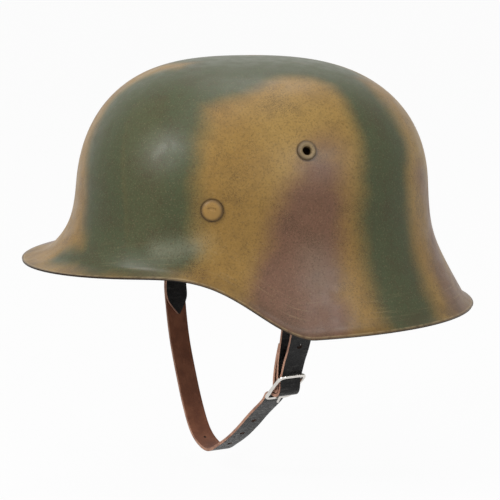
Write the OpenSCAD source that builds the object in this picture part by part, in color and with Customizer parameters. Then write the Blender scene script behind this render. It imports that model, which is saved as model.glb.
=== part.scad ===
// Steel combat helmet with leather liner and chin strap.
// Millimetres, +Z up, front of the helmet toward -X, wearer's left toward -Y.
// The origin is the centre of the head opening at the middle of the sweat band,
// so the helmet hangs on a head placed there.

/* [Shell] */
// Half length of the dome in front of the centre line of the ears
dome_front = 106.9; // [100:0.1:116]
// Half length of the dome behind the centre line of the ears
dome_rear = 122.4; // [114:0.1:130]
// Half width of the dome at the ears
dome_half_w = 98.9; // [90:0.1:106]
// Squareness of the dome oval seen from above
dome_oval = 2.24; // [2:0.02:2.5]
// Height of the level where the wall starts to close, above the lowest rim point
wall_h = 84; // [76:1:92]
// Height of the closed crown above that level
crown_h = 83.5; // [76:0.5:92]
// Fullness of the crown at front and back
crown_full_ends = 2.86; // [2.4:0.02:3.2]
// Fullness of the crown at the sides
crown_full_sides = 2.72; // [2.2:0.02:3]
// Thickness of the pressed steel
sheet = 1.2; // [1:0.1:1.6]
// Level where the skirt starts to flare
flare_level = 50; // [42:1:58]
// Softness of the bend into the flare
flare_soft = 18.5; // [12:0.1:24]
// Slope of the visor, outward per unit down
flare_front = 1.52; // [1.2:0.01:2]
// Slope of the ear skirt, outward per unit down
flare_side = 0.32; // [0.2:0.01:0.5]
// Slope of the neck guard, outward per unit down
flare_rear = 0.59; // [0.4:0.01:0.8]
// Outward kick of the raw edge at the visor
lip_front = 12.4; // [6:0.2:14]
// Outward kick of the raw edge at the ears
lip_side = 1.3; // [0:0.1:4]
// Outward kick of the raw edge at the neck
lip_rear = 3.6; // [1:0.1:6]

/* [Rim line] */
// Height of the visor edge above the ear edge
rim_front = 36.3; // [30:0.1:42]
// Height of the temple edge above the ear edge
rim_temple = 40; // [34:0.5:44]
// Height of the neck edge above the ear edge
rim_rear = 2.8; // [0:0.2:12]
// Angle from the front where the edge starts to drop
drop_from = 43.6; // [38:0.2:60]
// Angle from the front where the drop ends
drop_to = 106; // [98:1:116]

/* [Vents and rivets] */
// Angle of each vent from the front
vent_angle = 108.2; // [100:0.2:116]
// Height of each vent above the ear edge
vent_level = 118.2; // [110:0.2:124]
// Clear bore of the vent bushing
vent_bore = 6; // [4:0.2:8]
// Outer diameter of the vent bushing
vent_flange = 12.4; // [11:0.2:16]
// Angle of the side liner rivets from the front
rivet_angle = 72; // [66:0.2:80]
// Height of the liner rivets above the ear edge
rivet_level = 82.3; // [76:0.1:86]
// Diameter of the domed rivet head
rivet_head = 13.8; // [11:0.2:16]
// Diameter of the rivet shank
rivet_shank = 5; // [4:0.1:6]

/* [Liner] */
// Lower edge of the outer liner band above the ear edge
band_low = 68; // [64:0.5:72]
// Height of the outer liner band
band_h = 22; // [18:0.5:26]
// Thickness of the outer liner band
band_t = 1; // [0.8:0.1:1.4]
// Free space between the outer and the inner band
band_space = 8; // [6:0.5:10]
// Thickness of the inner band
inner_t = 0.8; // [0.6:0.1:1.2]
// Thickness of the felt strip
felt_t = 3; // [2:0.5:4]
// Thickness of the liner leather
leather_t = 1.5; // [1.2:0.1:2]
// Number of leather fingers
fingers = 8; // [6:1:10]
// Rise of the fingers from the sweat band to the draw-cord
finger_rise = 46; // [38:1:54]
// Diameter of the draw-cord
cord_d = 2; // [1.6:0.1:2.6]

/* [Bails] */
// Diameter of the bail wire
bail_wire = 2.6; // [2:0.1:3.2]
// Distance from the hinge bar to the strap bar of a bail
bail_drop = 15; // [13:0.5:18]
// Distance of each bail in front of or behind the ear line
bail_x = 22; // [16:1:26]
// Turn of the bail hinge line against the middle plane
bail_turn = 6.6; // [4:0.2:9]

/* [Strap] */
// Width of the strap leather
strap_w = 15; // [13:0.5:17]
// Thickness of the strap leather
strap_t = 2; // [1.6:0.1:2.2]
// Turn of the hanging strap loop against the middle plane
strap_turn = 22; // [18:1:26]
// Depth of the strap loop below the ear edge
strap_depth = 104; // [98:1:110]
// Diameter of the adjusting holes
strap_hole = 3.8; // [3:0.2:4.4]

/* [Buckle] */
// Diameter of the buckle wire
buckle_wire = 2.4; // [2:0.1:2.8]
// Distance between the outer bars of the buckle
buckle_l = 27.4; // [24:0.2:30]
// Distance between the side bars of the buckle
buckle_w = 18.4; // [17.8:0.2:21]
// Diameter of the prong wire
prong_d = 1.7; // [1.4:0.1:2]

/* [Hidden] */
$fn = 40;
gap = 0.3;
seat = 0.2;
run_fit = 0.05;
// Height of the origin above the lowest point of the rim
origin_h = 76;
steps_around = 72;
steps_crown = 12;
steps_skirt = 11;
band_top = band_low + band_h;
liner_rivet_angles = [rivet_angle, -rivet_angle, 180];
shank_hole = rivet_shank + 0.2;
washer_r = 5.4;
washer_t = 0.8;
washer_lift = 0.25;

// Shell surface as a function of the angle from the front and the height
bend_f = 3.51;
bend_r = 2.54;
crown_round_f = 2.06;
crown_round_r = 2.17;
drop_bias = 1.74;
lip_h = 6;
function clamp01(x) = min(1, max(0, x));
function smooth(x) = let (c = clamp01(x)) c * c * (3 - 2 * c);
function w_front(t) = pow(max(0, cos(t)), bend_f);
function w_rear(t) = pow(max(0, -cos(t)), bend_r);
function blend3(t, f, s, r) = w_front(t) * f + w_rear(t) * r + (1 - w_front(t) - w_rear(t)) * s;
function fold(t) = let (a = ((t % 360) + 360) % 360) a > 180 ? 360 - a : a;
function rim_z(t) =
  let (q = clamp01((fold(t) - drop_from) / (drop_to - drop_from)))
  rim_temple * (1 - smooth(pow(q, drop_bias)))
  + rim_rear * pow(max(0, -cos(t)), 2)
  + (rim_front - rim_temple) * pow(max(0, cos(t)), 2);
function oval(t) =
  let (a = cos(t) > 0 ? dome_front : dome_rear)
  pow(pow(abs(cos(t)) / a, dome_oval) + pow(abs(sin(t)) / dome_half_w, dome_oval), -1 / dome_oval);
function closing(t, z) =
  let (c = clamp01((z - wall_h) / crown_h),
       m = blend3(t, crown_full_ends, crown_full_sides, crown_full_ends),
       k = blend3(t, crown_round_f, (crown_round_f + crown_round_r) / 2, crown_round_r))
  pow(max(0, 1 - pow(c, k)), 1 / m);
function flare(t, z) =
  let (d = flare_level - z)
  blend3(t, flare_front, flare_side, flare_rear) * (d + sqrt(d * d + flare_soft * flare_soft)) / 2;
function lip(t, z) =
  blend3(t, lip_front, lip_side, lip_rear) * pow(clamp01(1 - (z - rim_z(t)) / lip_h), 2);
function rho(t, z) = closing(t, z) * (oval(t) + flare(t, z)) + lip(t, z);
function shell_pt(t, z) = [-rho(t, z) * cos(t), -rho(t, z) * sin(t), z];
function unit(v) = v / norm(v);
function shell_normal(t, z) =
  let (e = 0.4, zz = min(z, wall_h + crown_h - 1.5))
  unit(cross(shell_pt(t, zz + e) - shell_pt(t, zz - e), shell_pt(t - e, zz) - shell_pt(t + e, zz)));
function level(t, i) =
  i <= steps_crown
  ? wall_h + crown_h * cos(90 * i / steps_crown)
  : let (q = (i - steps_crown) / steps_skirt)
    wall_h + (rim_z(t) - wall_h) * (1 - pow(1 - q, 1.6));
function outer_pt(t, i) = shell_pt(t, level(t, i));
function row_normal(t, i) =
  let (e = 0.4, a = max(0.6, i - 0.08), b = min(steps_crown + steps_skirt, i + 0.08),
       n = cross(outer_pt(t, a) - outer_pt(t, b), outer_pt(t - e, i) - outer_pt(t + e, i)))
  unit(n);
function inner_pt(t, i) = outer_pt(t, i) - sheet * row_normal(t, i);

module shell_solid() {
  rows = steps_crown + steps_skirt;
  n = steps_around;
  top = wall_h + crown_h;
  outer = [for (i = [1:rows]) for (j = [0:n - 1]) outer_pt(360 * j / n, i)];
  inner = [for (i = [1:rows]) for (j = [0:n - 1]) inner_pt(360 * j / n, i)];
  base = len(outer);
  pts = concat(outer, inner, [[0, 0, top], [0, 0, top - sheet]]);
  out_faces = [for (i = [0:rows - 2]) for (j = [0:n - 1])
    let (a = i * n + j, b = i * n + (j + 1) % n)
    each [[a, b, b + n], [a, b + n, a + n]]];
  in_faces = [for (i = [0:rows - 2]) for (j = [0:n - 1])
    let (a = base + i * n + j, b = base + i * n + (j + 1) % n)
    each [[b, a, b + n], [a, a + n, b + n]]];
  edge = [for (j = [0:n - 1])
    let (a = (rows - 1) * n + j, b = (rows - 1) * n + (j + 1) % n)
    each [[a, b, b + base], [a, b + base, a + base]]];
  caps = [for (j = [0:n - 1])
    each [[2 * base, (j + 1) % n, j], [2 * base + 1, base + j, base + (j + 1) % n]]];
  polyhedron(points = pts, faces = concat(out_faces, in_faces, edge, caps), convexity = 6);
}

// Places children on the outer face of the shell with +Z pointing outward
module on_shell(t, z) {
  p = shell_pt(t, z);
  n = shell_normal(t, z);
  translate(p)
    rotate([0, acos(n[2]), atan2(n[1], n[0])])
      children();
}

module lower() {
  translate([0, 0, -origin_h]) children();
}

module shell() {
  color("olivedrab")
    lower()
      difference() {
        shell_solid();
        for (s = [-1, 1])
          on_shell(s * vent_angle, vent_level)
            cylinder(r = bushing_hole, h = 12, center = true);
        for (t = liner_rivet_angles)
          at_band(t, rivet_level, -8)
            cylinder(d = shank_hole, h = 14);
      }
}

// Vent bushing: flange outside, barrel through the sheet, rolled edge inside
bushing_wall = 2;
bushing_hole = vent_bore / 2 + bushing_wall + 0.1;
module vent_bushing(side) {
  r = vent_flange / 2;
  b = vent_bore / 2;
  w = b + bushing_wall;
  rolled = -sheet - 0.3;
  color("darkkhaki")
    lower()
      on_shell(side * vent_angle, vent_level)
        rotate_extrude($fn = 48)
          polygon(concat(
            [[b, -3.2], [b, 1.1]],
            [for (a = [150:-15:0]) [(b + r) / 2 + (r - b) / 2 * cos(a), 0.3 + 1.5 * sin(a)]],
            [[r, gap], [w, gap], [w, rolled], [w + 1.1, rolled - 0.1], [w + 1.3, rolled - 0.8],
             [w + 0.4, rolled - 1.6]]
          ));
}

module vent_bushing_left() {
  vent_bushing(1);
}

module vent_bushing_right() {
  vent_bushing(-1);
}

// Liner bands follow one oval, measured inward from the face of the outer band
function band_rho(t) = rho(t, band_top) - sheet - 0.5;
function band_pt(t, d, z) = [-(band_rho(t) - d) * cos(t), -(band_rho(t) - d) * sin(t), z];
function band_normal(t) =
  let (e = 1, v = band_pt(t + e, 0, 0) - band_pt(t - e, 0, 0))
  atan2(-v[0], v[1]) + (v[1] * -cos(t) - v[0] * -sin(t) > 0 ? 0 : 180);
// Places children at a depth behind the outer face, with +Z pointing inward
module at_band(t, z, d) {
  phi = band_normal(t);
  translate(band_pt(t, 0, z))
    rotate([0, 90, phi + 180])
      translate([0, 0, d])
        children();
}

module ring(profile) {
  n = steps_around;
  m = len(profile);
  pts = [for (j = [0:n - 1]) for (k = [0:m - 1])
    band_pt(360 * j / n, profile[k][0], profile[k][1])];
  faces = [for (j = [0:n - 1]) for (k = [0:m - 1])
    let (a = j * m + k, b = j * m + (k + 1) % m,
         c = ((j + 1) % n) * m + k, d = ((j + 1) % n) * m + (k + 1) % m)
    each [[a, b, c], [b, d, c]]];
  polyhedron(points = pts, faces = faces, convexity = 6);
}

function box_profile(d0, d1, z0, z1) = [[d0, z0], [d0, z1], [d1, z1], [d1, z0]];

inner_d = band_t + band_space;
felt_d = inner_d + inner_t + seat;
leather_d = felt_d + felt_t + seat;
spring_angles = [30, 118, 157, -157, -118, -30];
spring_level = 79;
spring_half = 9;
spring_t = 0.6;
spring_w = 10;
pin_level = 80;
small_rivet = 2.4;
small_hole = small_rivet + 0.1;
small_head_d = 4.2;
head_lift = 0.32;
strap_head_d = 5.6;

module spring_holes(feet, crown) {
  for (t = spring_angles) {
    if (crown)
      at_band(t, spring_level, -1)
        cylinder(d = small_hole, h = band_t + 3, $fn = 20);
    if (feet)
      for (s = [-1, 1])
        at_band(t + s * foot_angle, spring_level, inner_d - 2)
          cylinder(d = small_hole, h = inner_t + 3.5, $fn = 20);
  }
}

module pin_holes() {
  for (k = [0:fingers - 1])
    at_band(360 * k / fingers, pin_level, inner_d - 1)
      cylinder(d = small_hole, h = inner_t + felt_t + leather_t + 4, $fn = 20);
}

module outer_band() {
  color("slategray")
    lower()
      difference() {
        ring(box_profile(0, band_t, band_low, band_top));
        for (t = liner_rivet_angles)
          at_band(t, rivet_level, -2)
            cylinder(d = shank_hole, h = 6);
        spring_holes(false, true);
        bracket_holes();
      }
}

module inner_band() {
  color("silver")
    lower()
      difference() {
        ring(box_profile(inner_d, inner_d + inner_t, band_low + 2, band_top - 2));
        spring_holes(true, false);
        pin_holes();
      }
}

// Leaf springs arch from the inner band to the outer band
foot_angle = 7.2;
crown_flat = 1.6;
foot_flat = 2.7;
function spring_depth(a) =
  let (c = clamp01((abs(a) - crown_flat) / (foot_angle - foot_flat - crown_flat)))
  band_t + seat + (band_space - 2 * seat - spring_t) * smooth(c);
module leaf_spring(t) {
  n = 26;
  span = spring_half;
  front = [for (i = [0:n]) let (a = -span + 2 * span * i / n) band_pt(t + a, spring_depth(a), 0)];
  back = [for (i = [n:-1:0]) let (a = -span + 2 * span * i / n)
    band_pt(t + a, spring_depth(a) + spring_t, 0)];
  translate([0, 0, spring_level - spring_w / 2])
    linear_extrude(height = spring_w)
      polygon([for (p = concat(front, back)) [p[0], p[1]]]);
}

module leaf_springs() {
  color("lightsteelblue")
    lower()
      difference() {
        for (t = spring_angles)
          leaf_spring(t);
        for (t = spring_angles) {
          at_band(t, spring_level, 0)
            cylinder(d = small_hole, h = 3, $fn = 20);
          for (s = [-1, 1])
            at_band(t + s * foot_angle, spring_level, inner_d - 3)
              cylinder(d = small_hole, h = 3.5, $fn = 20);
        }
      }
}

module small_head(d, h) {
  cylinder(d1 = d, d2 = d * 0.6, h = h, $fn = 24);
}

module spring_rivets() {
  color("gainsboro")
    lower()
      for (t = spring_angles) {
        at_band(t, spring_level, 0.1) {
          cylinder(d = small_rivet, h = band_t + seat + spring_t + head_lift, $fn = 20);
          translate([0, 0, band_t + seat + spring_t + head_lift - 0.1])
            small_head(small_head_d, 0.9);
        }
        for (s = [-1, 1])
          at_band(t + s * foot_angle, spring_level, inner_d + inner_t - 0.1) {
            mirror([0, 0, 1])
              cylinder(d = small_rivet, h = inner_t + seat + spring_t + head_lift, $fn = 20);
            translate([0, 0, -inner_t - seat - spring_t - head_lift + 0.1])
              mirror([0, 0, 1])
                small_head(small_head_d, 0.9);
          }
      }
}

// Felt strip and leather
sweat_low = 60;
sweat_top = 90;

module felt_strip() {
  color("dimgray")
    lower()
      difference() {
        ring(box_profile(felt_d, felt_d + felt_t, sweat_low + 3, sweat_top - 3));
        pin_holes();
      }
}

module sweat_band() {
  d1 = leather_d + leather_t;
  d0 = inner_d - 0.6;
  ring([[d0, sweat_low + 1], [d0, band_low], [d0 + leather_t, band_low],
    [d0 + leather_t, sweat_low + leather_t + 0.6], [d0 + leather_t + 0.8, sweat_low + leather_t],
    [leather_d - 0.8, sweat_low + leather_t], [leather_d, sweat_low + leather_t + 0.8],
    [leather_d, sweat_top], [d1, sweat_top], [d1, sweat_low + 1], [d1 - 1, sweat_low],
    [d0 + 1, sweat_low]]);
}

tip_ratio = 0.36;
cord_v = 0.86;
finger_base_half = 180 / fingers - 2;
function finger_half(v) =
  let (taper = finger_base_half - 5 * v)
  v < 0.9 ? taper : taper * sqrt(max(0.02, 1 - pow((v - 0.9) / 0.1, 2)));
function finger_pt(t, v, d) =
  let (b = band_rho(t) - leather_d - leather_t / 2,
       dr = -(1 - tip_ratio) * sin(90 * v) * b,
       dz = finger_rise * cos(90 * v),
       l = sqrt(dr * dr + dz * dz),
       r = b * (tip_ratio + (1 - tip_ratio) * cos(90 * v)) + d * dz / l,
       z = sweat_top - 3 + finger_rise * sin(90 * v) - d * dr / l)
  [-r * cos(t), -r * sin(t), z];

module finger(t0) {
  nv = 16;
  nw = 6;
  h = leather_t / 2 - 0.1;
  m = nw + 1;
  pts = [for (d = [h, -h]) for (i = [0:nv]) for (k = [0:nw])
    let (v = i / nv) finger_pt(t0 + finger_half(v) * (2 * k / nw - 1), v, d)];
  o = (nv + 1) * m;
  top = [for (i = [0:nv - 1]) for (k = [0:nw - 1])
    let (a = i * m + k) each [[a, a + m, a + 1], [a + 1, a + m, a + m + 1]]];
  low = [for (i = [0:nv - 1]) for (k = [0:nw - 1])
    let (a = o + i * m + k) each [[a, a + 1, a + m], [a + 1, a + m + 1, a + m]]];
  sides = [for (i = [0:nv - 1])
    let (a = i * m, b = i * m + nw)
    each [[a, a + o, a + m], [a + m, a + o, a + m + o], [b, b + m, b + o], [b + m, b + m + o, b + o]]];
  ends = [for (k = [0:nw - 1])
    let (a = k, b = nv * m + k)
    each [[a, a + 1, a + o], [a + 1, a + o + 1, a + o], [b, b + o, b + 1], [b + 1, b + o, b + o + 1]]];
  polyhedron(points = pts, faces = concat(top, low, sides, ends), convexity = 4);
}

cord_z = sweat_top - 3 + finger_rise * sin(90 * cord_v);
cord_swing = 4.5;
function cord_rho(t) =
  (band_rho(t) - leather_d - leather_t / 2) * (tip_ratio + (1 - tip_ratio) * cos(90 * cord_v));
function cord_pt(t) = [-cord_rho(t) * cos(t), -cord_rho(t) * sin(t), cord_z + cord_swing * cos(fingers * t)];

module leather_liner() {
  color("peru")
    lower()
      difference() {
        union() {
          sweat_band();
          for (k = [0:fingers - 1])
            finger(360 * (k + 0.5) / fingers);
        }
        pin_holes();
        for (k = [0:fingers - 1])
          for (s = [-1, 1])
            let (t = 360 * (k + 0.5) / fingers + s * 90 / fingers, p = cord_pt(t))
            translate([p[0], p[1], cord_z - 6])
              cylinder(r = 2.5, h = 12, $fn = 20);
      }
}

module liner_pins() {
  color("silver")
    lower()
      for (k = [0:fingers - 1])
        at_band(360 * k / fingers, pin_level, inner_d - 0.9) {
          cylinder(d = small_rivet, h = leather_d + leather_t - inner_d + 1.2, $fn = 20);
          small_head(small_head_d, 0.6);
          translate([0, 0, leather_d + leather_t - inner_d + 1])
            small_head(5, 1);
        }
}

// Tube along a list of points
module tube(path, r, closed) {
  n = len(path);
  m = 8;
  function dirn(i) = closed
    ? unit(path[(i + 1) % n] - path[(i + n - 1) % n])
    : unit(path[min(n - 1, i + 1)] - path[max(0, i - 1)]);
  pts = [for (i = [0:n - 1])
    let (t = dirn(i), u = unit(cross(t, [0, 0, 1])), w = cross(u, t))
    for (k = [0:m - 1]) path[i] + r * cos(360 * k / m) * u + r * sin(360 * k / m) * w];
  last = closed ? n - 1 : n - 2;
  walls = [for (i = [0:last]) for (k = [0:m - 1])
    let (a = i * m + k, b = i * m + (k + 1) % m,
         c = ((i + 1) % n) * m + k, d = ((i + 1) % n) * m + (k + 1) % m)
    each [[a, b, c], [b, d, c]]];
  caps = closed ? [] : [[for (k = [m - 1:-1:0]) k], [for (k = [0:m - 1]) (n - 1) * m + k]];
  polyhedron(points = pts, faces = concat(walls, caps), convexity = 8);
}

module draw_cord() {
  n = 144;
  tail = 22;
  k = cord_pt(0);
  color("wheat")
    lower() {
      tube([for (i = [0:n - 1]) cord_pt(360 * i / n)], cord_d / 2, true);
      translate(k)
        scale([0.9, 1.3, 1])
          sphere(r = 2.6, $fn = 20);
      for (s = [-1, 1])
        tube([for (i = [0:8]) let (q = i / 8)
          k + [tail * q * 0.8, s * (1 + 9 * q), -6 * q * q]], cord_d / 2, false);
    }
}

// Split pins with a domed head outside and two legs spread inside; the rear head is nearly flush
rivet_edge = 0.3;
rivet_dome = 2.4;
rear_rivet_dome = 0.5;
rivet_dent = [3.6, 5, 0.5];
module rivet_dome_head(dome) {
  r = rivet_head / 2;
  difference() {
    mirror([0, 0, 1])
      rotate_extrude($fn = 48)
        polygon(concat([[0, 0]], [for (a = [0:10:80])
          [r * pow(cos(a), 0.8), rivet_edge + dome * pow(sin(a), 0.8)]], [[0, rivet_edge + dome]]));
    if (dome > 2 * rivet_dent[2])
      translate([-1.2, 0, rivet_dent[2] - rivet_dent[0] / 2 - rivet_edge - dome])
        rotate([90, 0, 12])
          cylinder(d = rivet_dent[0], h = rivet_dent[1], center = true);
  }
}

module liner_rivet(t) {
  drop = (rho(t, rivet_level) - band_rho(t)) + gap;
  reach = band_t + washer_lift + washer_t;
  leg = 8.5;
  leg_w = 4;
  leg_t = 1.2;
  at_band(t, rivet_level, 0) {
    translate([0, 0, -drop])
      rivet_dome_head(cos(t) > -0.9 ? rivet_dome : rear_rivet_dome);
    translate([0, 0, -drop - 0.1])
      cylinder(d = rivet_shank, h = drop + reach + gap + leg_t);
    for (s = [-1, 1])
      translate([0, s * leg / 2, reach + gap + leg_t / 2])
        cube([leg_w, leg, leg_t], center = true);
  }
}

module liner_rivets() {
  color("darkkhaki")
    lower()
      for (t = liner_rivet_angles)
        liner_rivet(t);
}

module rivet_washers() {
  color("silver")
    lower()
      for (t = liner_rivet_angles)
        at_band(t, rivet_level, band_t + washer_lift)
          difference() {
            cylinder(r = washer_r, h = washer_t);
            translate([0, 0, -1])
              cylinder(d = shank_hole, h = 3);
          }
}

// Bail hinge frames: +X along the hinge bar, -Y outward on the left side
hinge_z = band_low - 2.8;
bar_z = hinge_z - bail_drop;
bracket_l = 16;
bracket_holes_x = [-4.8, 4.8];
sleeve_r = bail_wire / 2 + 1.1;
plate_seat = 0.55;
bail_leg = 11.3;
bail_corner = 2.6;
plate_top = 76;
plate_rivet_z = 72;
plate_t = 0.9;

// Turn at which the inner face of the outer band lies at x, and the hinge's distance from the middle plane
function band_turn(x, n = 8, t = 90) = n == 0 ? t : band_turn(x, n - 1, acos(-x / (band_rho(t) - band_t)));
function bail_y(side) =
  let (t = band_turn(side * bail_x))
  (band_rho(t) - band_t) * sin(t) - sleeve_r - plate_seat;
module bail_frame(side) {
  rotate([0, 0, side > 0 ? 0 : 180])
    translate([bail_x, -bail_y(side), 0])
      rotate([0, 0, bail_turn])
        children();
}

module bracket_holes() {
  for (side = [1, -1])
    bail_frame(side)
      for (x = bracket_holes_x)
        translate([x, 0, plate_rivet_z])
          rotate([90, 0, 0])
            cylinder(d = small_hole, h = 6, $fn = 20);
}

module bail_bracket(side) {
  color("darkgray")
    lower()
      bail_frame(side)
        difference() {
          union() {
            translate([-bracket_l / 2, 0, hinge_z])
              rotate([0, 90, 0])
                cylinder(r = sleeve_r, h = bracket_l);
            translate([-bracket_l / 2, -sleeve_r, hinge_z])
              cube([bracket_l, plate_t, plate_top - hinge_z]);
          }
          translate([-bracket_l, 0, hinge_z])
            rotate([0, 90, 0])
              cylinder(r = bail_wire / 2 + run_fit, h = bracket_l * 2);
          for (x = bracket_holes_x)
            translate([x, 0, plate_rivet_z])
              rotate([90, 0, 0])
                cylinder(d = small_hole, h = 6, $fn = 20);
        }
}

module bail_bracket_left() {
  bail_bracket(1);
}

module bail_bracket_right() {
  bail_bracket(-1);
}

module bracket_rivets() {
  color("gainsboro")
    lower()
      for (side = [1, -1])
        bail_frame(side)
          for (x = bracket_holes_x)
            translate([x, -sleeve_r + plate_t + head_lift, plate_rivet_z])
              rotate([90, 0, 0]) {
                cylinder(d = small_rivet, h = plate_t + band_t + head_lift, $fn = 20);
                mirror([0, 0, 1])
                  small_head(small_head_d, 1);
              }
}

// Closed wire rectangle in the local XZ plane, hung from its top bar
module wire_frame(half, drop, corner, r) {
  for (z = [0, -drop])
    translate([-half + corner, 0, z])
      rotate([0, 90, 0])
        cylinder(r = r, h = 2 * (half - corner), $fn = 32);
  for (x = [-half, half])
    translate([x, 0, -drop + corner])
      cylinder(r = r, h = drop - 2 * corner, $fn = 32);
  for (x = [-1, 1])
    for (z = [0, 1])
      translate([x * (half - corner), 0, z == 0 ? -corner : -drop + corner])
        rotate([90, 0, 0])
          rotate([0, 0, (x > 0 ? (z == 0 ? 0 : 270) : (z == 0 ? 90 : 180))])
            rotate_extrude(angle = 90, $fn = 32)
              translate([corner, 0])
                circle(r = r, $fn = 32);
}

module bail(side) {
  color("silver")
    lower()
      bail_frame(side)
        translate([0, 0, hinge_z])
          wire_frame(bail_leg, bail_drop, bail_corner, bail_wire / 2);
}

module bail_left() {
  bail(1);
}

module bail_right() {
  bail(-1);
}

// Strap route. Each control is [along, height, across, turn, width] in the strap plane:
// along runs from the right ear to the left ear, across is square to it.
along = [sin(strap_turn), -cos(strap_turn), 0];
across = [cos(strap_turn), sin(strap_turn), 0];
bar_r = bail_wire / 2 + gap + strap_t / 2;
route_sub = 3;
strap_slide = 2;
// The loop is drawn between bars 187.6 apart and widens with them
reach = (bar_centre(1)[0] - bar_centre(-1)[0]) / 189.35;
function wide(list) = [for (c = list) [c[0] * reach, c[1], c[2], c[3], c[4]]];
ply = strap_t + 0.35;
function bar_centre(side) =
  let (c = side * [bail_x, -bail_y(side), 0] + side * strap_slide * [cos(bail_turn), sin(bail_turn), 0])
  [c * along, bar_z, c * across];
function at_bar(side, a) =
  let (c = bar_centre(side), o = side * [sin(bail_turn), -cos(bail_turn), 0] * bar_r)
  [c[0] + (o * along) * cos(a), bar_z + bar_r * sin(a), c[2] + (o * across) * cos(a), bail_turn, strap_w];
function turn_over(side) = [for (a = [180:-22.5:0]) at_bar(side, a)];

// Buckle frame of reference in the strap plane
buckle_c = [63.9 * reach, -42];
buckle_tilt = 40.5;
down = [-cos(buckle_tilt), -sin(buckle_tilt)];
out = [sin(buckle_tilt), -cos(buckle_tilt)];
function at_buckle(d, o) = let (p = buckle_c + d * down + o * out) [p[0], p[1], strap_across, strap_turn, strap_w];
strap_across = -4;
pin_r = buckle_wire / 2;
buckle_corner = 3.4;
loop_r = pin_r + gap + strap_t / 2;
bar_room = 1;
under = -(pin_r + bar_room + strap_t / 2);
over = pin_r + gap + strap_t + 0.4 + strap_t / 2;

far_leg = wide([
  [-97.2, 38, 10.5, 8, strap_w], [-95, 20, 2.5, 13, strap_w], [-91.6, 3, -3, 19, strap_w],
  [-88, -15, -4, 23, strap_w]
]);
loop_low = -strap_depth;
u_bend = wide([
  [-82.6, -38, -4, 25, strap_w], [-73.4, -61, -4, 25, strap_w], [-64.6, -79.5, -4, 24, strap_w],
  [-54.2, loop_low + 9, -4, 23, strap_w], [-42, loop_low + 1.6, -4, 22, strap_w],
  [-28.5, loop_low + 0.4, -4, 22, strap_w], [-13.5, loop_low + 7.6, -4, 22, strap_w],
  [0.5, -88.2, -4, 22, strap_w], [14.5, -78.2, -4, 22, strap_w], [28.5, -67.2, -4, 22, strap_w]
]);
buckle_run = [
  at_buckle(22, -2.2), at_buckle(buckle_l / 2, under), at_buckle(8.2, -0.6), at_buckle(4, over - 1.4),
  at_buckle(0, over), at_buckle(-4, over - 1.4), at_buckle(-8.2, -0.6), at_buckle(-buckle_l / 2, under)
];
free_end = wide([
  [75.8, -22.5, -4, 21, strap_w], [80.4, -14, -4, 20, strap_w], [85, -5, -4.5, 19, strap_w],
  [89, 5, -5, 17, strap_w], [91, 11.5, -5.5, 16, strap_w * 0.55]
]);
function reversed(list) = [for (i = [len(list) - 1:-1:0]) list[i]];
tongue = concat(
  wide([[-84, -19.5, -4, 24, 1.2], [-86.4, -9, -4, 22, strap_w * 0.97]]),
  [for (c = reversed([for (i = [0:2]) far_leg[i]])) [c[0] + ply, c[1] + 1, c[2], c[3], strap_w]]
);
long_route = concat(tongue, turn_over(-1), far_leg, u_bend, buckle_run, free_end);

near_leg = wide([
  [95, 38, -11.5, 8, strap_w], [87.5, 22, -9, 12, strap_w], [78.5, 6, -6, 17, strap_w],
  [71.6, -9, -4.3, 21, strap_w], [67.8, -22, -4, 22, strap_w]
]);
hook = [for (a = [0:-30:-180])
  [buckle_c[0] + loop_r * cos(a), buckle_c[1] + loop_r * sin(a), strap_across, strap_turn, strap_w]];
short_route = concat(
  wide([[84.9, 22, -9, 12, strap_w * 0.8], [92.4, 38, -11.5, 8, strap_w]]),
  turn_over(1),
  near_leg,
  [[buckle_c[0] + loop_r + 0.2, -33, strap_across, strap_turn, strap_w]],
  hook,
  [[buckle_c[0] - 1.6, -33, strap_across, strap_turn, strap_w]],
  wide([[65.3, -22, strap_across, 22, strap_w], [68.2, -12, -4.2, 21, strap_w * 0.9]])
);

function cr(a, b, c, d, t) =
  0.5 * (2 * b + (c - a) * t + (2 * a - 5 * b + 4 * c - d) * t * t + (3 * b - a - 3 * c + d) * t * t * t);
function spline(list, sub) =
  let (n = len(list))
  concat([for (i = [0:n - 2]) for (k = [0:sub - 1])
    cr(list[max(0, i - 1)], list[i], list[i + 1], list[min(n - 1, i + 2)], k / sub)], [list[n - 1]]);
function world(c) = c[0] * along + c[2] * across + [0, 0, c[1]];
function turn_vec(c) = [cos(c[3]), sin(c[3]), 0];
function route_dir(r, i) = unit(world(r[min(len(r) - 1, i + 1)]) - world(r[max(0, i - 1)]));

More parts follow.
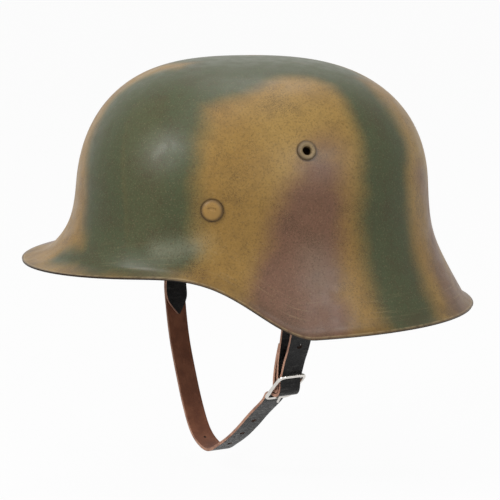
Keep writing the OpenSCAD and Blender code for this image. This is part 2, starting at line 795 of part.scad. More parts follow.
// Leather along a route. Between the stations slot_from and slot_to it is open in the middle
module ribbon(route, slot_from = 0, slot_to = 0) {
  r = spline(route, route_sub);
  n = len(r);
  pts = [for (i = [0:n - 1])
    let (p = world(r[i]), t = turn_vec(r[i]), w = t * r[i][4] / 2, q = t * min(r[i][4] / 3, slot_w / 2),
         u = unit(cross(t, route_dir(r, i))) * strap_t / 2)
    each [p + w + u, p + q + u, p - q + u, p - w + u, p - w - u, p - q - u, p + q - u, p + w - u]];
  walls = [for (i = [0:n - 2]) for (k = [0:7])
    let (a = 8 * i + k, b = 8 * i + (k + 1) % 8)
    if (k % 4 != 1 || i < slot_from || i >= slot_to)
      each [[a, a + 8, b], [b, a + 8, b + 8]]];
  slot_walls = [for (i = [slot_from:1:slot_to - 1]) for (e = [[1, 6], [5, 2]])
    let (a = 8 * i + e[0], b = 8 * i + e[1])
    each [[a, a + 8, b], [b, a + 8, b + 8]]];
  slot_ends = slot_to > slot_from
    ? [[for (k = [6, 5, 2, 1]) 8 * slot_from + k], [for (k = [1, 2, 5, 6]) 8 * slot_to + k]]
    : [];
  caps = [[for (k = [0:7]) k], [for (k = [1:8]) 8 * n - k]];
  polyhedron(points = pts, faces = concat(walls, slot_walls, slot_ends, caps), convexity = 10);
}

// Places children on a route at a fractional control number, +Z square to the leather
module on_route(route, f) {
  i = floor(f);
  n = len(route);
  c = cr(route[max(0, i - 1)], route[i], route[min(n - 1, i + 1)], route[min(n - 1, i + 2)], f - i);
  d = cr(route[max(0, i - 1)], route[i], route[min(n - 1, i + 1)], route[min(n - 1, i + 2)], f - i + 0.05);
  u = unit(cross(turn_vec(c), unit(world(d) - world(c))));
  translate(world(c))
    rotate([0, acos(u[2]), atan2(u[1], u[0])])
      children();
}

first_u = len(tongue) + len(turn_over(-1)) + len(far_leg);
hole_steps = [3.6, 4.95, 6.1, 7.35, 8.5];
rivet_step = 3.1;
short_rivet_steps = [0.55, len(short_route) - 1.75];
// The prong has pulled its hole to an oval
prong_pull = 2.2;
prong_step = first_u + len(u_bend) + 2.49;
spare_step = first_u + len(u_bend) + len(buckle_run) + 1.3;
// The prong slot runs round the fold on the middle bar
slot_w = 3.6;
hook_first = len(short_route) - 3 - len(hook);
slot_from = route_sub * hook_first - 1;
slot_to = route_sub * (hook_first + len(hook) - 1) + 1;

module strap_long() {
  color("black")
    lower()
      difference() {
        ribbon(long_route);
        for (f = hole_steps)
          on_route(long_route, first_u + f)
            cylinder(d = strap_hole, h = 8, center = true, $fn = 24);
        on_route(long_route, prong_step)
          hull()
            for (x = [-1, 1])
              translate([x * prong_pull / 2, 0, 0])
                cylinder(d = strap_hole, h = 5, center = true, $fn = 24);
        on_route(long_route, spare_step)
          cylinder(d = strap_hole, h = 3, center = true, $fn = 24);
        on_route(long_route, rivet_step)
          cylinder(d = small_rivet + 0.2, h = 14, center = true, $fn = 20);
      }
}

module strap_short() {
  color("black")
    lower()
      difference() {
        ribbon(short_route, slot_from, slot_to);
        for (f = short_rivet_steps)
          on_route(short_route, f)
            cylinder(d = small_rivet + 0.2, h = 9, center = true, $fn = 20);
      }
}

module rivet_pair(h) {
  cylinder(d = small_rivet, h = h, center = true, $fn = 20);
  for (s = [0, 1])
    mirror([0, 0, s])
      translate([0, 0, h / 2 - 0.9])
        small_head(strap_head_d, 1);
}

module strap_rivets() {
  stack = ply + strap_t + 2.2;
  color("gainsboro")
    lower() {
      on_route(long_route, rivet_step)
        translate([0, 0, -ply / 2])
          rivet_pair(stack);
      for (f = short_rivet_steps)
        on_route(short_route, f)
          translate([0, 0, ply / 2])
            rivet_pair(stack);
    }
}

// Local buckle axes: X across the strap, Z toward the upper bar, -Y outward
module buckle_frame_axes() {
  p = world([buckle_c[0], buckle_c[1], strap_across]);
  translate(p)
    rotate([0, 0, strap_turn])
      rotate([90 - buckle_tilt, 0, 0])
        children();
}

module buckle_frame() {
  color("gainsboro")
    lower()
      buckle_frame_axes() {
        translate([0, 0, buckle_l / 2])
          wire_frame(buckle_w / 2, buckle_l, buckle_corner, pin_r);
        translate([-buckle_w / 2, 0, 0])
          rotate([0, 90, 0])
            cylinder(r = pin_r, h = buckle_w, $fn = 32);
      }
}

prong_tip = buckle_l / 2 + 2;
sleeve_l = 2.4;
sleeve_wall = 0.9;
prong_rise = pin_r + prong_d / 2 + 0.3;
module buckle_prong() {
  slope = atan2(prong_rise, buckle_l / 2);
  color("gainsboro")
    lower()
      buckle_frame_axes()
        difference() {
          union() {
            translate([-sleeve_l / 2, 0, 0])
              rotate([0, 90, 0])
                cylinder(r = pin_r + sleeve_wall, h = sleeve_l, $fn = 32);
            rotate([180 - slope, 0, 0])
              cylinder(d = prong_d, h = prong_tip, $fn = 24);
            rotate([180 - slope, 0, 0])
              translate([0, 0, prong_tip])
                sphere(d = prong_d, $fn = 24);
          }
          translate([-sleeve_l, 0, 0])
            rotate([0, 90, 0])
              cylinder(r = pin_r + run_fit, h = 2 * sleeve_l, $fn = 32);
        }
}

shell();
vent_bushing_left();
vent_bushing_right();
liner_rivets();
rivet_washers();
outer_band();
inner_band();
leaf_springs();
spring_rivets();
felt_strip();
leather_liner();
liner_pins();
draw_cord();
bail_bracket_left();
bail_bracket_right();
bracket_rivets();
bail_left();
bail_right();
strap_long();
strap_short();
strap_rivets();
buckle_frame();
buckle_prong();
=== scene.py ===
"""Looks of the steel combat helmet: sprayed shell, leather liner, chin strap and buckle.

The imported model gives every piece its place. Lengths in the classes are millimetres with heights
above the lowest point of the rim, as in the part's source; `row` turns them into metres.
"""
from __future__ import annotations

import logging
import math
from dataclasses import dataclass, field
from enum import Enum
from typing import Callable, Optional, Sequence

import bmesh
import bpy
from mathutils import Matrix, Vector, noise

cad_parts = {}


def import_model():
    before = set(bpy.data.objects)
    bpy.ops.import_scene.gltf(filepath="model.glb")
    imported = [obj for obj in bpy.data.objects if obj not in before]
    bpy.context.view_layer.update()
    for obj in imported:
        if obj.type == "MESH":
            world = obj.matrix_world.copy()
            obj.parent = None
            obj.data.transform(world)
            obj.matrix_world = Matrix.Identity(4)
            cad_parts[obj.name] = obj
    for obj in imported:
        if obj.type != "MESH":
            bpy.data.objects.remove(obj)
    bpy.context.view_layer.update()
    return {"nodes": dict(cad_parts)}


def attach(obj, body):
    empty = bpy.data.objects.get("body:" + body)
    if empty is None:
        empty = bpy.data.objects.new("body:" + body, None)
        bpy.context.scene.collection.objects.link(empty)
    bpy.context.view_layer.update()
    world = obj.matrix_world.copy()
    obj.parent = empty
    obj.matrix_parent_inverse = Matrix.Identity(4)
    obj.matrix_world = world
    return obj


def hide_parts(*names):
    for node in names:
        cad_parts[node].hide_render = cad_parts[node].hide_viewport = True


MM = 0.001
TINY = 1e-9
WELD = 1e-6
ORIGIN_H = 76.0
VECTOR = "NodeSocketVector"
FLOAT = "NodeSocketFloat"
LOG = logging.getLogger("helmet")

Colour = tuple[float, float, float]
Place = Callable[[float, float], Vector]
Socket = bpy.types.NodeSocket


# Plain geometry


def row(x: float, y: float, z: float) -> Vector:
    """Turns millimetres above the ear edge into metres in the part's frame."""
    return Vector((x, y, z - ORIGIN_H)) * MM


def clamp(value: float, low: float = 0.0, high: float = 1.0) -> float:
    """Keeps a value between two bounds."""
    return min(high, max(low, value))


def ease(value: float) -> float:
    """Smooth step from 0 to 1."""
    c = clamp(value)
    return c * c * (3 - 2 * c)


def srgb(red: int, green: int, blue: int) -> Colour:
    """Turns a screen colour of 0 to 255 into the linear colour that shaders use.

    Args:
        red: Red from 0 to 255.
        green: Green from 0 to 255.
        blue: Blue from 0 to 255.

    Returns:
        The linear colour.
    """
    def one(channel: int) -> float:
        """Linear value of one channel."""
        c = channel / 255
        return c / 12.92 if c <= 0.04045 else ((c + 0.055) / 1.055) ** 2.4

    return one(red), one(green), one(blue)


@dataclass(frozen=True)
class ShellForm:
    """Surface of the pressed shell, as distance from the middle line by turn and height."""

    dome_front: float = 106.9
    dome_rear: float = 122.4
    dome_half_w: float = 98.9
    dome_oval: float = 2.24
    wall_h: float = 84.0
    crown_h: float = 83.5
    crown_full_ends: float = 2.86
    crown_full_sides: float = 2.72
    crown_round: tuple[float, float] = (2.06, 2.17)
    flare_level: float = 50.0
    flare_soft: float = 18.5
    flare: tuple[float, float, float] = (1.52, 0.32, 0.59)
    lip: tuple[float, float, float] = (12.4, 1.3, 3.6)
    lip_h: float = 6.0
    rim_front: float = 36.3
    rim_temple: float = 40.0
    rim_rear: float = 2.8
    drop: tuple[float, float] = (43.6, 106.0)
    drop_bias: float = 1.74
    bend: tuple[float, float] = (3.51, 2.54)
    sheet: float = 1.2
    crown_rows: float = 0.56
    crown_spread: float = 1.4
    skirt_spread: float = 1.5

    def share(self, turn: float, values: tuple[float, float, float]) -> float:
        """Blends a front, side and rear value at a turn in degrees from the front.

        Args:
            turn: Degrees from the front, toward the wearer's left.
            values: Front, side and rear value.

        Returns:
            The blend.
        """
        c = math.cos(math.radians(turn))
        front, rear = max(0.0, c) ** self.bend[0], max(0.0, -c) ** self.bend[1]
        return front * values[0] + rear * values[2] + (1 - front - rear) * values[1]

    def rim(self, turn: float) -> float:
        """Height of the raw edge at a turn.

        Args:
            turn: Degrees from the front, toward the wearer's left.

        Returns:
            Millimetres above the ear edge.
        """
        folded = abs((turn + 180) % 360 - 180)
        c = math.cos(math.radians(turn))
        q = clamp((folded - self.drop[0]) / (self.drop[1] - self.drop[0]))
        return (self.rim_temple * (1 - ease(q ** self.drop_bias)) + self.rim_rear * max(0.0, -c) ** 2
                + (self.rim_front - self.rim_temple) * max(0.0, c) ** 2)

    def reach(self, turn: float, height: float) -> float:
        """Distance of the outer face from the middle line.

        Args:
            turn: Degrees from the front, toward the wearer's left.
            height: Millimetres above the ear edge.

        Returns:
            The distance in millimetres.
        """
        c, s = math.cos(math.radians(turn)), math.sin(math.radians(turn))
        end = self.dome_front if c > 0 else self.dome_rear
        power = self.dome_oval
        oval = ((abs(c) / end) ** power + (abs(s) / self.dome_half_w) ** power) ** (-1 / power)
        up = clamp((height - self.wall_h) / self.crown_h)
        full = self.share(turn, (self.crown_full_ends, self.crown_full_sides, self.crown_full_ends))
        curve = self.share(turn, (self.crown_round[0], sum(self.crown_round) / 2, self.crown_round[1]))
        closing = max(0.0, 1 - up ** curve) ** (1 / full)
        below = self.flare_level - height
        flare = self.share(turn, self.flare) * (below + math.hypot(below, self.flare_soft)) / 2
        kick = self.share(turn, self.lip) * clamp(1 - (height - self.rim(turn)) / self.lip_h) ** 2
        return closing * (oval + flare) + kick

    def point(self, turn: float, height: float) -> Vector:
        """Point of the outer face in metres."""
        r, a = self.reach(turn, height), math.radians(turn)
        return row(-r * math.cos(a), -r * math.sin(a), height)

    def outward(self, turn: float, height: float) -> Vector:
        """Outward direction of the face at a point.

        Args:
            turn: Degrees from the front, toward the wearer's left.
            height: Millimetres above the ear edge.

        Returns:
            A direction of length 1.
        """
        step = 0.4
        rise = self.point(turn, height + step) - self.point(turn, height - step)
        side = self.point(turn - step, height) - self.point(turn + step, height)
        return rise.cross(side).normalized()

    def height(self, turn: float, v: float) -> float:
        """Height of a mesh row, from 0 at the top to 1 at the raw edge, evenly spaced on the face.

        Args:
            turn: Degrees from the front, toward the wearer's left.
            v: Share of the way down.

        Returns:
            Millimetres above the ear edge.
        """
        if v <= self.crown_rows:
            up = math.cos(math.pi / 2 * (v / self.crown_rows) ** self.crown_spread)
            return self.wall_h + self.crown_h * up
        q = (v - self.crown_rows) / (1 - self.crown_rows)
        return self.wall_h + (self.rim(turn) - self.wall_h) * (1 - (1 - q) ** self.skirt_spread)

    def from_edge(self, turn: float, height: float) -> float:
        """Distance over the face down to the raw edge, in metres.

        Args:
            turn: Degrees from the front, toward the wearer's left.
            height: Millimetres above the ear edge.

        Returns:
            The distance.
        """
        low, steps = self.rim(turn), 5
        down = [self.point(turn, low + (height - low) * i / steps) for i in range(steps + 1)]
        return sum((b - a).length for a, b in zip(down, down[1:]))


FORM = ShellForm()


@dataclass(frozen=True)
class LinerForm:
    """Places of the liner's rings, measured inward from the face of the outer band."""

    band_low: float = 68.0
    band_top: float = 90.0
    band_t: float = 1.0
    band_gap: float = 0.5
    inner_d: float = 9.0
    inner_t: float = 0.8
    felt_d: float = 10.0
    felt_t: float = 3.0
    felt_inset: float = 3.0
    leather_d: float = 13.2
    leather_t: float = 1.5
    sweat_low: float = 60.0
    sweat_top: float = 90.0
    fingers: int = 8
    finger_rise: float = 46.0
    finger_root: float = 3.0
    finger_gap: float = 2.0
    finger_taper: float = 5.0
    tip_ratio: float = 0.36
    tip_from: float = 0.9
    cord_v: float = 0.86
    cord_d: float = 2.0
    cord_swing: float = 4.5

    def ring_reach(self, turn: float) -> float:
        """Distance of the outer band's face from the middle line."""
        return FORM.reach(turn, self.band_top) - FORM.sheet - self.band_gap

    def at(self, turn: float, depth: float, height: float) -> Vector:
        """Point at a depth behind the outer band's face, in metres."""
        r, a = self.ring_reach(turn) - depth, math.radians(turn)
        return row(-r * math.cos(a), -r * math.sin(a), height)

    def finger_half(self, v: float) -> float:
        """Half the width of a finger in degrees, from its root at 0 to its tip at 1.

        Args:
            v: Share of the way up the finger.

        Returns:
            The half width.
        """
        half = 180 / self.fingers - self.finger_gap - self.finger_taper * v
        if v < self.tip_from:
            return half
        return half * math.sqrt(max(0.02, 1 - ((v - self.tip_from) / (1 - self.tip_from)) ** 2))

    def finger(self, turn: float, v: float) -> Vector:
        """Middle of the leather on the dome that the fingers form.

        Args:
            turn: Degrees from the front, toward the wearer's left.
            v: Share of the way up the dome.

        Returns:
            The point in metres.
        """
        base = self.ring_reach(turn) - self.leather_d - self.leather_t / 2
        r = base * (self.tip_ratio + (1 - self.tip_ratio) * math.cos(math.pi / 2 * v))
        z = self.sweat_top - self.finger_root + self.finger_rise * math.sin(math.pi / 2 * v)
        a = math.radians(turn)
        return row(-r * math.cos(a), -r * math.sin(a), z)

    def cord(self, turn: float) -> Vector:
        """Middle line of the draw-cord as it weaves through the fingers."""
        p = self.finger(turn, self.cord_v)
        return p + Vector((0, 0, self.cord_swing * MM * math.cos(math.radians(self.fingers * turn))))


LINER = LinerForm()


# Mesh helpers


class Wrap(Enum):
    """How the sides of a sheet meet once it is laid out."""

    OPEN = "open"
    ROUND = "round"
    TUBE = "tube"


@dataclass
class Sheet:
    """A flat grid that is punched while flat and then laid over a surface.

    The grid runs from 0 to `length` along and from 0 to `width` across, in metres.
    """

    name: str
    length: float
    width: float
    columns: int
    rows: int
    wrap: Wrap = Wrap.OPEN
    bm: bmesh.types.BMesh = field(default_factory=bmesh.new)

    def __post_init__(self) -> None:
        """Creates the flat grid and its texture layout."""
        bmesh.ops.create_grid(self.bm, x_segments=self.columns, y_segments=self.rows, size=0.5)
        stretch = Matrix.Diagonal((self.length, self.width, 1, 1)) @ Matrix.Translation((0.5, 0.5, 0))
        bmesh.ops.transform(self.bm, matrix=stretch, verts=self.bm.verts)

    def punch(self, along: float, across: float, radius: float) -> None:
        """Cuts a round hole in the flat sheet.

        Args:
            along: Place of the hole's middle along the sheet.
            across: Place of the hole's middle across the sheet.
            radius: Radius of the hole.
        """
        open_hole(self.bm, Vector((along, across, 0)), Vector((0, 0, 1)), radius)

    def slot(self, start: float, end: float, low: float, high: float) -> None:
        """Cuts a straight slot in the flat sheet between two lengths and two widths."""
        inside = [f for f in self.bm.faces
                  if start < f.calc_center_median().x < end and low < f.calc_center_median().y < high]
        bmesh.ops.delete(self.bm, geom=inside, context="FACES")

    def lay(self, place: Place, flip: bool = False,
            layout: Optional[Callable[[float, float], tuple[float, float]]] = None) -> None:
        """Moves every point from the flat grid to its place on the surface.

        Args:
            place: Gives the point in space for a place on the flat sheet.
            flip: Turns the faces over.
            layout: Gives the texture coordinates, which are the flat place if left out.
        """
        uv = self.bm.loops.layers.uv.new("layout")
        for vert in self.bm.verts:
            flat = vert.co
            spot = layout(flat.x, flat.y) if layout else (flat.x, flat.y)
            for loop in vert.link_loops:
                loop[uv].uv = spot
        for vert in self.bm.verts:
            vert.co = place(vert.co.x, vert.co.y)
        if self.wrap is not Wrap.OPEN:
            bmesh.ops.remove_doubles(self.bm, verts=self.bm.verts, dist=WELD)
        if flip:
            bmesh.ops.reverse_faces(self.bm, faces=self.bm.faces)

    def done(self, finishes: Sequence["Finish"]) -> bpy.types.Object:
        """Turns the grid into an object with its finishes."""
        return make_object(self.name, self.bm, finishes)


def open_hole(bm: bmesh.types.BMesh, centre: Vector, axis: Vector, radius: float) -> None:
    """Opens a round hole and pulls the cut edge onto its circle.

    Args:
        bm: Mesh to cut.
        centre: Middle of the hole.
        axis: Direction that the hole runs in.
        radius: Radius of the hole.
    """
    def off(co: Vector) -> Vector:
        """Part of the offset from the middle that is square to the axis."""
        d = co - centre
        return d - axis * d.dot(axis)

    deep = 8 * radius
    middles = {f: f.calc_center_median() for f in bm.faces}
    inside = [f for f, m in middles.items() if off(m).length < radius and (m - centre).length < deep]
    near = {v for f in inside for v in f.verts}
    bmesh.ops.delete(bm, geom=inside, context="FACES")
    for vert in near:
        if vert.is_valid and vert.is_boundary:
            d = off(vert.co)
            if d.length > TINY:
                vert.co += d * (radius / d.length - 1)


def face_outward(bm: bmesh.types.BMesh) -> None:
    """Turns a sheet's faces away from the origin."""
    if sum(f.normal.dot(f.calc_center_median()) for f in bm.faces) < 0:
        bmesh.ops.reverse_faces(bm, faces=bm.faces)


def make_object(name: str, bm: bmesh.types.BMesh, finishes: Sequence["Finish"]) -> bpy.types.Object:
    """Makes a smooth-shaded object from a bmesh.

    Args:
        name: Name of the piece.
        bm: Mesh, which is freed.
        finishes: Finishes by material index.

    Returns:
        The new object, linked to the scene.
    """
    for face in bm.faces:
        face.smooth = True
    mesh = bpy.data.meshes.new(name)
    bm.to_mesh(mesh)
    bm.free()
    for finish in finishes:
        mesh.materials.append(finish.material())
    obj = bpy.data.objects.new(name, mesh)
    bpy.context.scene.collection.objects.link(obj)
    return obj


def thicken(obj: bpy.types.Object, thickness: float, offset: float, back: int = 0, edge: int = 0) -> None:
    """Gives a sheet its wall.

    Args:
        obj: Piece that is one sheet so far.
        thickness: Wall in metres.
        offset: -1 puts the wall behind the sheet, 0 on both sides.
        back: Material index added on the back.
        edge: Material index added on the edge.
    """
    mod = obj.modifiers.new("wall", "SOLIDIFY")
    mod.thickness = thickness
    mod.offset = offset
    mod.use_even_offset = True
    mod.material_offset = back
    mod.material_offset_rim = edge


def round_edges(obj: bpy.types.Object, width: float, segments: int = 2, degrees: float = 50.0) -> None:
    """Rounds the sharp edges of a piece and evens out its shading.

    Args:
        obj: Piece to round.
        width: Width of the rounding in metres.
        segments: Faces across the rounding.
        degrees: Bend from which an edge counts as sharp.
    """
    mod = obj.modifiers.new("edges", "BEVEL")
    mod.limit_method = "ANGLE"
    mod.angle_limit = math.radians(degrees)
    mod.width = width
    mod.segments = segments
    even = obj.modifiers.new("shading", "WEIGHTED_NORMAL")
    even.weight = 50


# Shader helpers


@dataclass(frozen=True)
class Mottle:
    """Uneven patches: noise at a scale per metre, and the part of its range that shows."""

    scale: float | Socket
    low: float
    high: float
    weak: float = 0.0
    strong: float = 1.0
    detail: float = 2.0
    rough: float = 0.5


@dataclass(frozen=True)
class Relief:
    """Depth of a relief in metres, and how much of it shows."""

    depth: float
    share: float


@dataclass(frozen=True)
class Wander:
    """Offset by noise at a scale per metre, with its reach in metres."""

    scale: float
    detail: float
    reach: float


@dataclass
class Graph:
    """Places and links nodes in one node tree."""

    tree: bpy.types.NodeTree

    def node(self, kind: str, inputs: Optional[dict] = None, **settings: object) -> bpy.types.Node:
        """Adds a node.

        Args:
            kind: Node type name.
            inputs: Values or sockets by input name or number.
            **settings: Attributes of the node.

        Returns:
            The node.
        """
        made = self.tree.nodes.new(kind)
        for key, value in settings.items():
            setattr(made, key, value)
        for key, value in (inputs or {}).items():
            if isinstance(value, Socket):
                self.tree.links.new(value, made.inputs[key])
            else:
                made.inputs[key].default_value = value
        return made

    def math(self, op: str, a: object, b: object = 0.0, clamped: bool = False) -> Socket:
        """Adds a Math node and returns its value."""
        return self.node("ShaderNodeMath", {0: a, 1: b}, operation=op, use_clamp=clamped).outputs[0]

    def vmath(self, op: str, a: object, b: object = (0.0, 0.0, 0.0), out: str = "Vector") -> Socket:
        """Adds a Vector Math node and returns one of its outputs."""
        return self.node("ShaderNodeVectorMath", {0: a, 1: b}, operation=op).outputs[out]

    def scaled(self, vector: object, scale: object) -> Socket:
        """Scales a vector by one number."""
        return self.node("ShaderNodeVectorMath", {0: vector, "Scale": scale}, operation="SCALE").outputs[0]

    def noise(self, vector: object, scale: float, detail: float = 2.0, rough: float = 0.5,
              colour: bool = False) -> Socket:
        """Adds a Noise texture and returns its value, or its colour."""
        values = {"Vector": vector, "Scale": scale, "Detail": detail, "Roughness": rough}
        return self.node("ShaderNodeTexNoise", values).outputs["Color" if colour else "Fac"]

    def wander(self, vector: object, kind: Wander) -> Socket:
        """Adds an offset that wanders both ways with noise."""
        colour = self.noise(vector, kind.scale, kind.detail, colour=True)
        return self.scaled(self.vmath("SUBTRACT", colour, (0.5, 0.5, 0.5)), kind.reach)

    def mottle(self, vector: object, kind: Mottle) -> Socket:
        """Adds uneven patches."""
        return self.span(self.noise(vector, kind.scale, kind.detail, kind.rough), kind.low, kind.high,
                         kind.weak, kind.strong)

    def span(self, value: object, low: object, high: object, to_low: object = 0.0, to_high: object = 1.0,
             smooth: bool = True) -> Socket:
        """Maps a range of values to another, with a smooth step by default."""
        kind = "SMOOTHSTEP" if smooth else "LINEAR"
        return self.node("ShaderNodeMapRange", {0: value, 1: low, 2: high, 3: to_low, 4: to_high},
                         interpolation_type=kind, clamp=not smooth).outputs[0]

    def blend(self, factor: object, a: object, b: object, mode: str = "MIX") -> Socket:
        """Mixes two colours.

        Args:
            factor: Share of the second colour.
            a: First colour.
            b: Second colour.
            mode: How they mix.

        Returns:
            The mixed colour.
        """
        made = self.node("ShaderNodeMix", {0: factor}, data_type="RGBA", blend_type=mode)
        for socket, value in ((made.inputs[6], a), (made.inputs[7], b)):
            if isinstance(value, Socket):
                self.tree.links.new(value, socket)
            else:
                socket.default_value = (*value, 1.0)
        return made.outputs[2]

    def bump(self, height: object, relief: Relief) -> Socket:
        """Adds a Bump node for a height between 0 and 1.

        Args:
            height: Height.
            relief: Depth and share of the relief.

        Returns:
            The normal.
        """
        values = {"Height": height, "Distance": relief.depth, "Strength": relief.share}
        return self.node("ShaderNodeBump", values).outputs[0]

    def seen_directly(self) -> Socket:
        """Is 1 for rays that show the surface itself: from the camera, in metal or through glass."""
        path = self.node("ShaderNodeLightPath").outputs
        plain = self.math("MAXIMUM", path["Is Camera Ray"], path["Is Glossy Ray"])
        return self.math("MAXIMUM", plain, path["Is Transmission Ray"])

    def position(self) -> Socket:
        """Object coordinates of the piece, in metres."""
        return self.node("ShaderNodeTexCoord").outputs["Object"]

    def group(self, shared: bpy.types.NodeTree, inputs: dict) -> bpy.types.Node:
        """Places a shared effect with its own values.

        Args:
            shared: Node group of the effect.
            inputs: Values or sockets by input name.

        Returns:
            The placed node.
        """
        made = self.node("ShaderNodeGroup")
        made.node_tree = shared
        for key, value in inputs.items():
            if isinstance(value, Socket):
                self.tree.links.new(value, made.inputs[key])
            else:
                made.inputs[key].default_value = value
        return made


class Effects:
    """Shared effects, each a node group that is built once."""

    @staticmethod
    def start(name: str, inputs: Sequence[tuple[str, str, object]], outputs: Sequence[tuple[str, str]],
              ) -> tuple[Optional[Graph], bpy.types.NodeTree]:
        """Opens a node group.

        Args:
            name: Name of the effect.
            inputs: Name, socket type and default of each input.
            outputs: Name and socket type of each output.

        Returns:
            A graph to fill, or None where the group exists, and the group.
        """
        if name in bpy.data.node_groups:
            return None, bpy.data.node_groups[name]
        tree = bpy.data.node_groups.new(name, "ShaderNodeTree")
        for label, kind, default in inputs:
            socket = tree.interface.new_socket(label, in_out="INPUT", socket_type=kind)
            if default is not None:
                socket.default_value = default
        for label, kind in outputs:
            tree.interface.new_socket(label, in_out="OUTPUT", socket_type=kind)
        return Graph(tree), tree

    @classmethod
    def stroke(cls) -> bpy.types.NodeTree:
        """Adds one sprayed stroke between two points of the surface to the mask of the strokes before it."""
        kinds = [("Under", FLOAT, 0.0), ("Position", VECTOR, None), ("Start", VECTOR, None),
                 ("End", VECTOR, None), ("Radius", FLOAT, 0.02), ("Softness", FLOAT, 0.006),
                 ("Strength", FLOAT, 1.0)]
        g, tree = cls.start("sprayed_stroke", kinds, [("Mask", FLOAT)])
        if g is None:
            return tree
        ins = g.node("NodeGroupInput").outputs
        run = g.vmath("SUBTRACT", ins["End"], ins["Start"])
        arm = g.vmath("SUBTRACT", ins["Position"], ins["Start"])
        part = g.math("DIVIDE", g.vmath("DOT_PRODUCT", arm, run, "Value"),
                      g.math("MAXIMUM", g.vmath("DOT_PRODUCT", run, run, "Value"), TINY))
        part = g.math("MINIMUM", g.math("MAXIMUM", part, 0.0), 1.0)
        gap = g.vmath("LENGTH", g.vmath("SUBTRACT", arm, g.scaled(run, part)), out="Value")
        outer = g.math("ADD", ins["Radius"], ins["Softness"])
        inner = g.math("SUBTRACT", ins["Radius"], ins["Softness"])
        mask = g.math("MULTIPLY", g.span(gap, outer, inner), ins["Strength"])
        g.node("NodeGroupOutput", {0: g.math("MAXIMUM", mask, ins["Under"])})
        return tree

    @classmethod
    def speckle(cls) -> bpy.types.NodeTree:
        """Clustered fine specks and pits: a mask and a height."""
        kinds = [("Position", VECTOR, None), ("Scale", FLOAT, 800.0), ("Amount", FLOAT, 0.5),
                 ("Clusters", FLOAT, 16.0)]
        g, tree = cls.start("speckle", kinds, [("Mask", FLOAT), ("Height", FLOAT)])
        if g is None:
            return tree
        ins = g.node("NodeGroupInput").outputs
        rarest, softness, depth = 0.74, 0.1, 0.6
        fine = g.noise(ins["Position"], ins["Scale"], 3.0, 0.65)
        patch = g.mottle(ins["Position"], Mottle(ins["Clusters"], low=0.35, high=0.7, weak=0.05, strong=0.3))
        edge = g.math("SUBTRACT", rarest, g.math("MULTIPLY", ins["Amount"], patch))
        mask = g.span(fine, edge, g.math("ADD", edge, softness))
        g.node("NodeGroupOutput", {0: mask, 1: g.math("SUBTRACT", fine, g.math("MULTIPLY", mask, depth))})
        return tree

    @classmethod
    def grain(cls) -> bpy.types.NodeTree:
        """Leather grain: creases between small cells, as a height and a crease mask."""
        g, tree = cls.start("leather_grain", [("Position", VECTOR, None), ("Scale", FLOAT, 900.0)],
                            [("Height", FLOAT), ("Creases", FLOAT)])
        if g is None:
            return tree
        ins = g.node("NodeGroupInput").outputs
        wobble_scale, wobble, crease_width = 500.0, 0.0012, 0.28
        shift = g.scaled(g.noise(ins["Position"], wobble_scale, colour=True), wobble)
        bent = g.vmath("ADD", ins["Position"], shift)
        values = {"Vector": bent, "Scale": ins["Scale"]}
        cells = g.node("ShaderNodeTexVoronoi", values, feature="DISTANCE_TO_EDGE")
        height = g.span(cells.outputs[0], 0.0, crease_width)
        g.node("NodeGroupOutput", {0: height, 1: g.math("SUBTRACT", 1.0, height)})
        return tree

    @classmethod
    def scratches(cls) -> bpy.types.NodeTree:
        """Thin straight scratches that follow one direction, as a mask."""
        kinds = [("Position", VECTOR, None), ("Stretch", VECTOR, (1, 1, 1)), ("Amount", FLOAT, 0.5)]
        g, tree = cls.start("scratches", kinds, [("Mask", FLOAT)])
        if g is None:
            return tree
        ins = g.node("NodeGroupInput").outputs
        rarest, spread, softness = 0.72, 0.2, 0.08
        lines = g.noise(g.vmath("MULTIPLY", ins["Position"], ins["Stretch"]), 1.0, 3.0, 0.6)
        where = g.mottle(ins["Position"], Mottle(60.0, low=0.4, high=0.62, detail=1.0))
        low = g.math("SUBTRACT", rarest, g.math("MULTIPLY", ins["Amount"], spread))
        mask = g.span(lines, low, g.math("ADD", low, softness))
        g.node("NodeGroupOutput", {0: g.math("MULTIPLY", mask, where)})
        return tree


# Finishes


@dataclass(frozen=True)
class Finish:
    """A named surface finish. Each kind fills in its own nodes."""

    name: str

    def material(self) -> bpy.types.Material:
        """Returns the material, built on first use."""
        found = bpy.data.materials.get(self.name)
        if found:
            return found
        made = bpy.data.materials.new(self.name)
        made.use_nodes = True
        made.node_tree.nodes.clear()
        g = Graph(made.node_tree)
        shader = g.node("ShaderNodeBsdfPrincipled")
        g.node("ShaderNodeOutputMaterial", {0: shader.outputs[0]})
        self.dress(g, shader)
        return made

    def dress(self, g: Graph, shader: bpy.types.Node) -> None:
        """Links the finish into the shader.

        Args:
            g: Graph of the material.
            shader: Its Principled node.
        """
        raise NotImplementedError

    @staticmethod
    def link(g: Graph, shader: bpy.types.Node, **sockets: object) -> None:
        """Sets or links the shader's inputs, with underscores for spaces in their names."""
        for key, value in sockets.items():
            socket = shader.inputs[key.replace("_", " ")]
            if isinstance(value, Socket):
                g.tree.links.new(value, socket)
            else:
                socket.default_value = value


@dataclass(frozen=True)
class Stroke:
    """One sprayed stroke on the shell, in metres."""

    start: tuple[float, float, float]
    end: tuple[float, float, float]
    radius: float
    softness: float
    strength: float


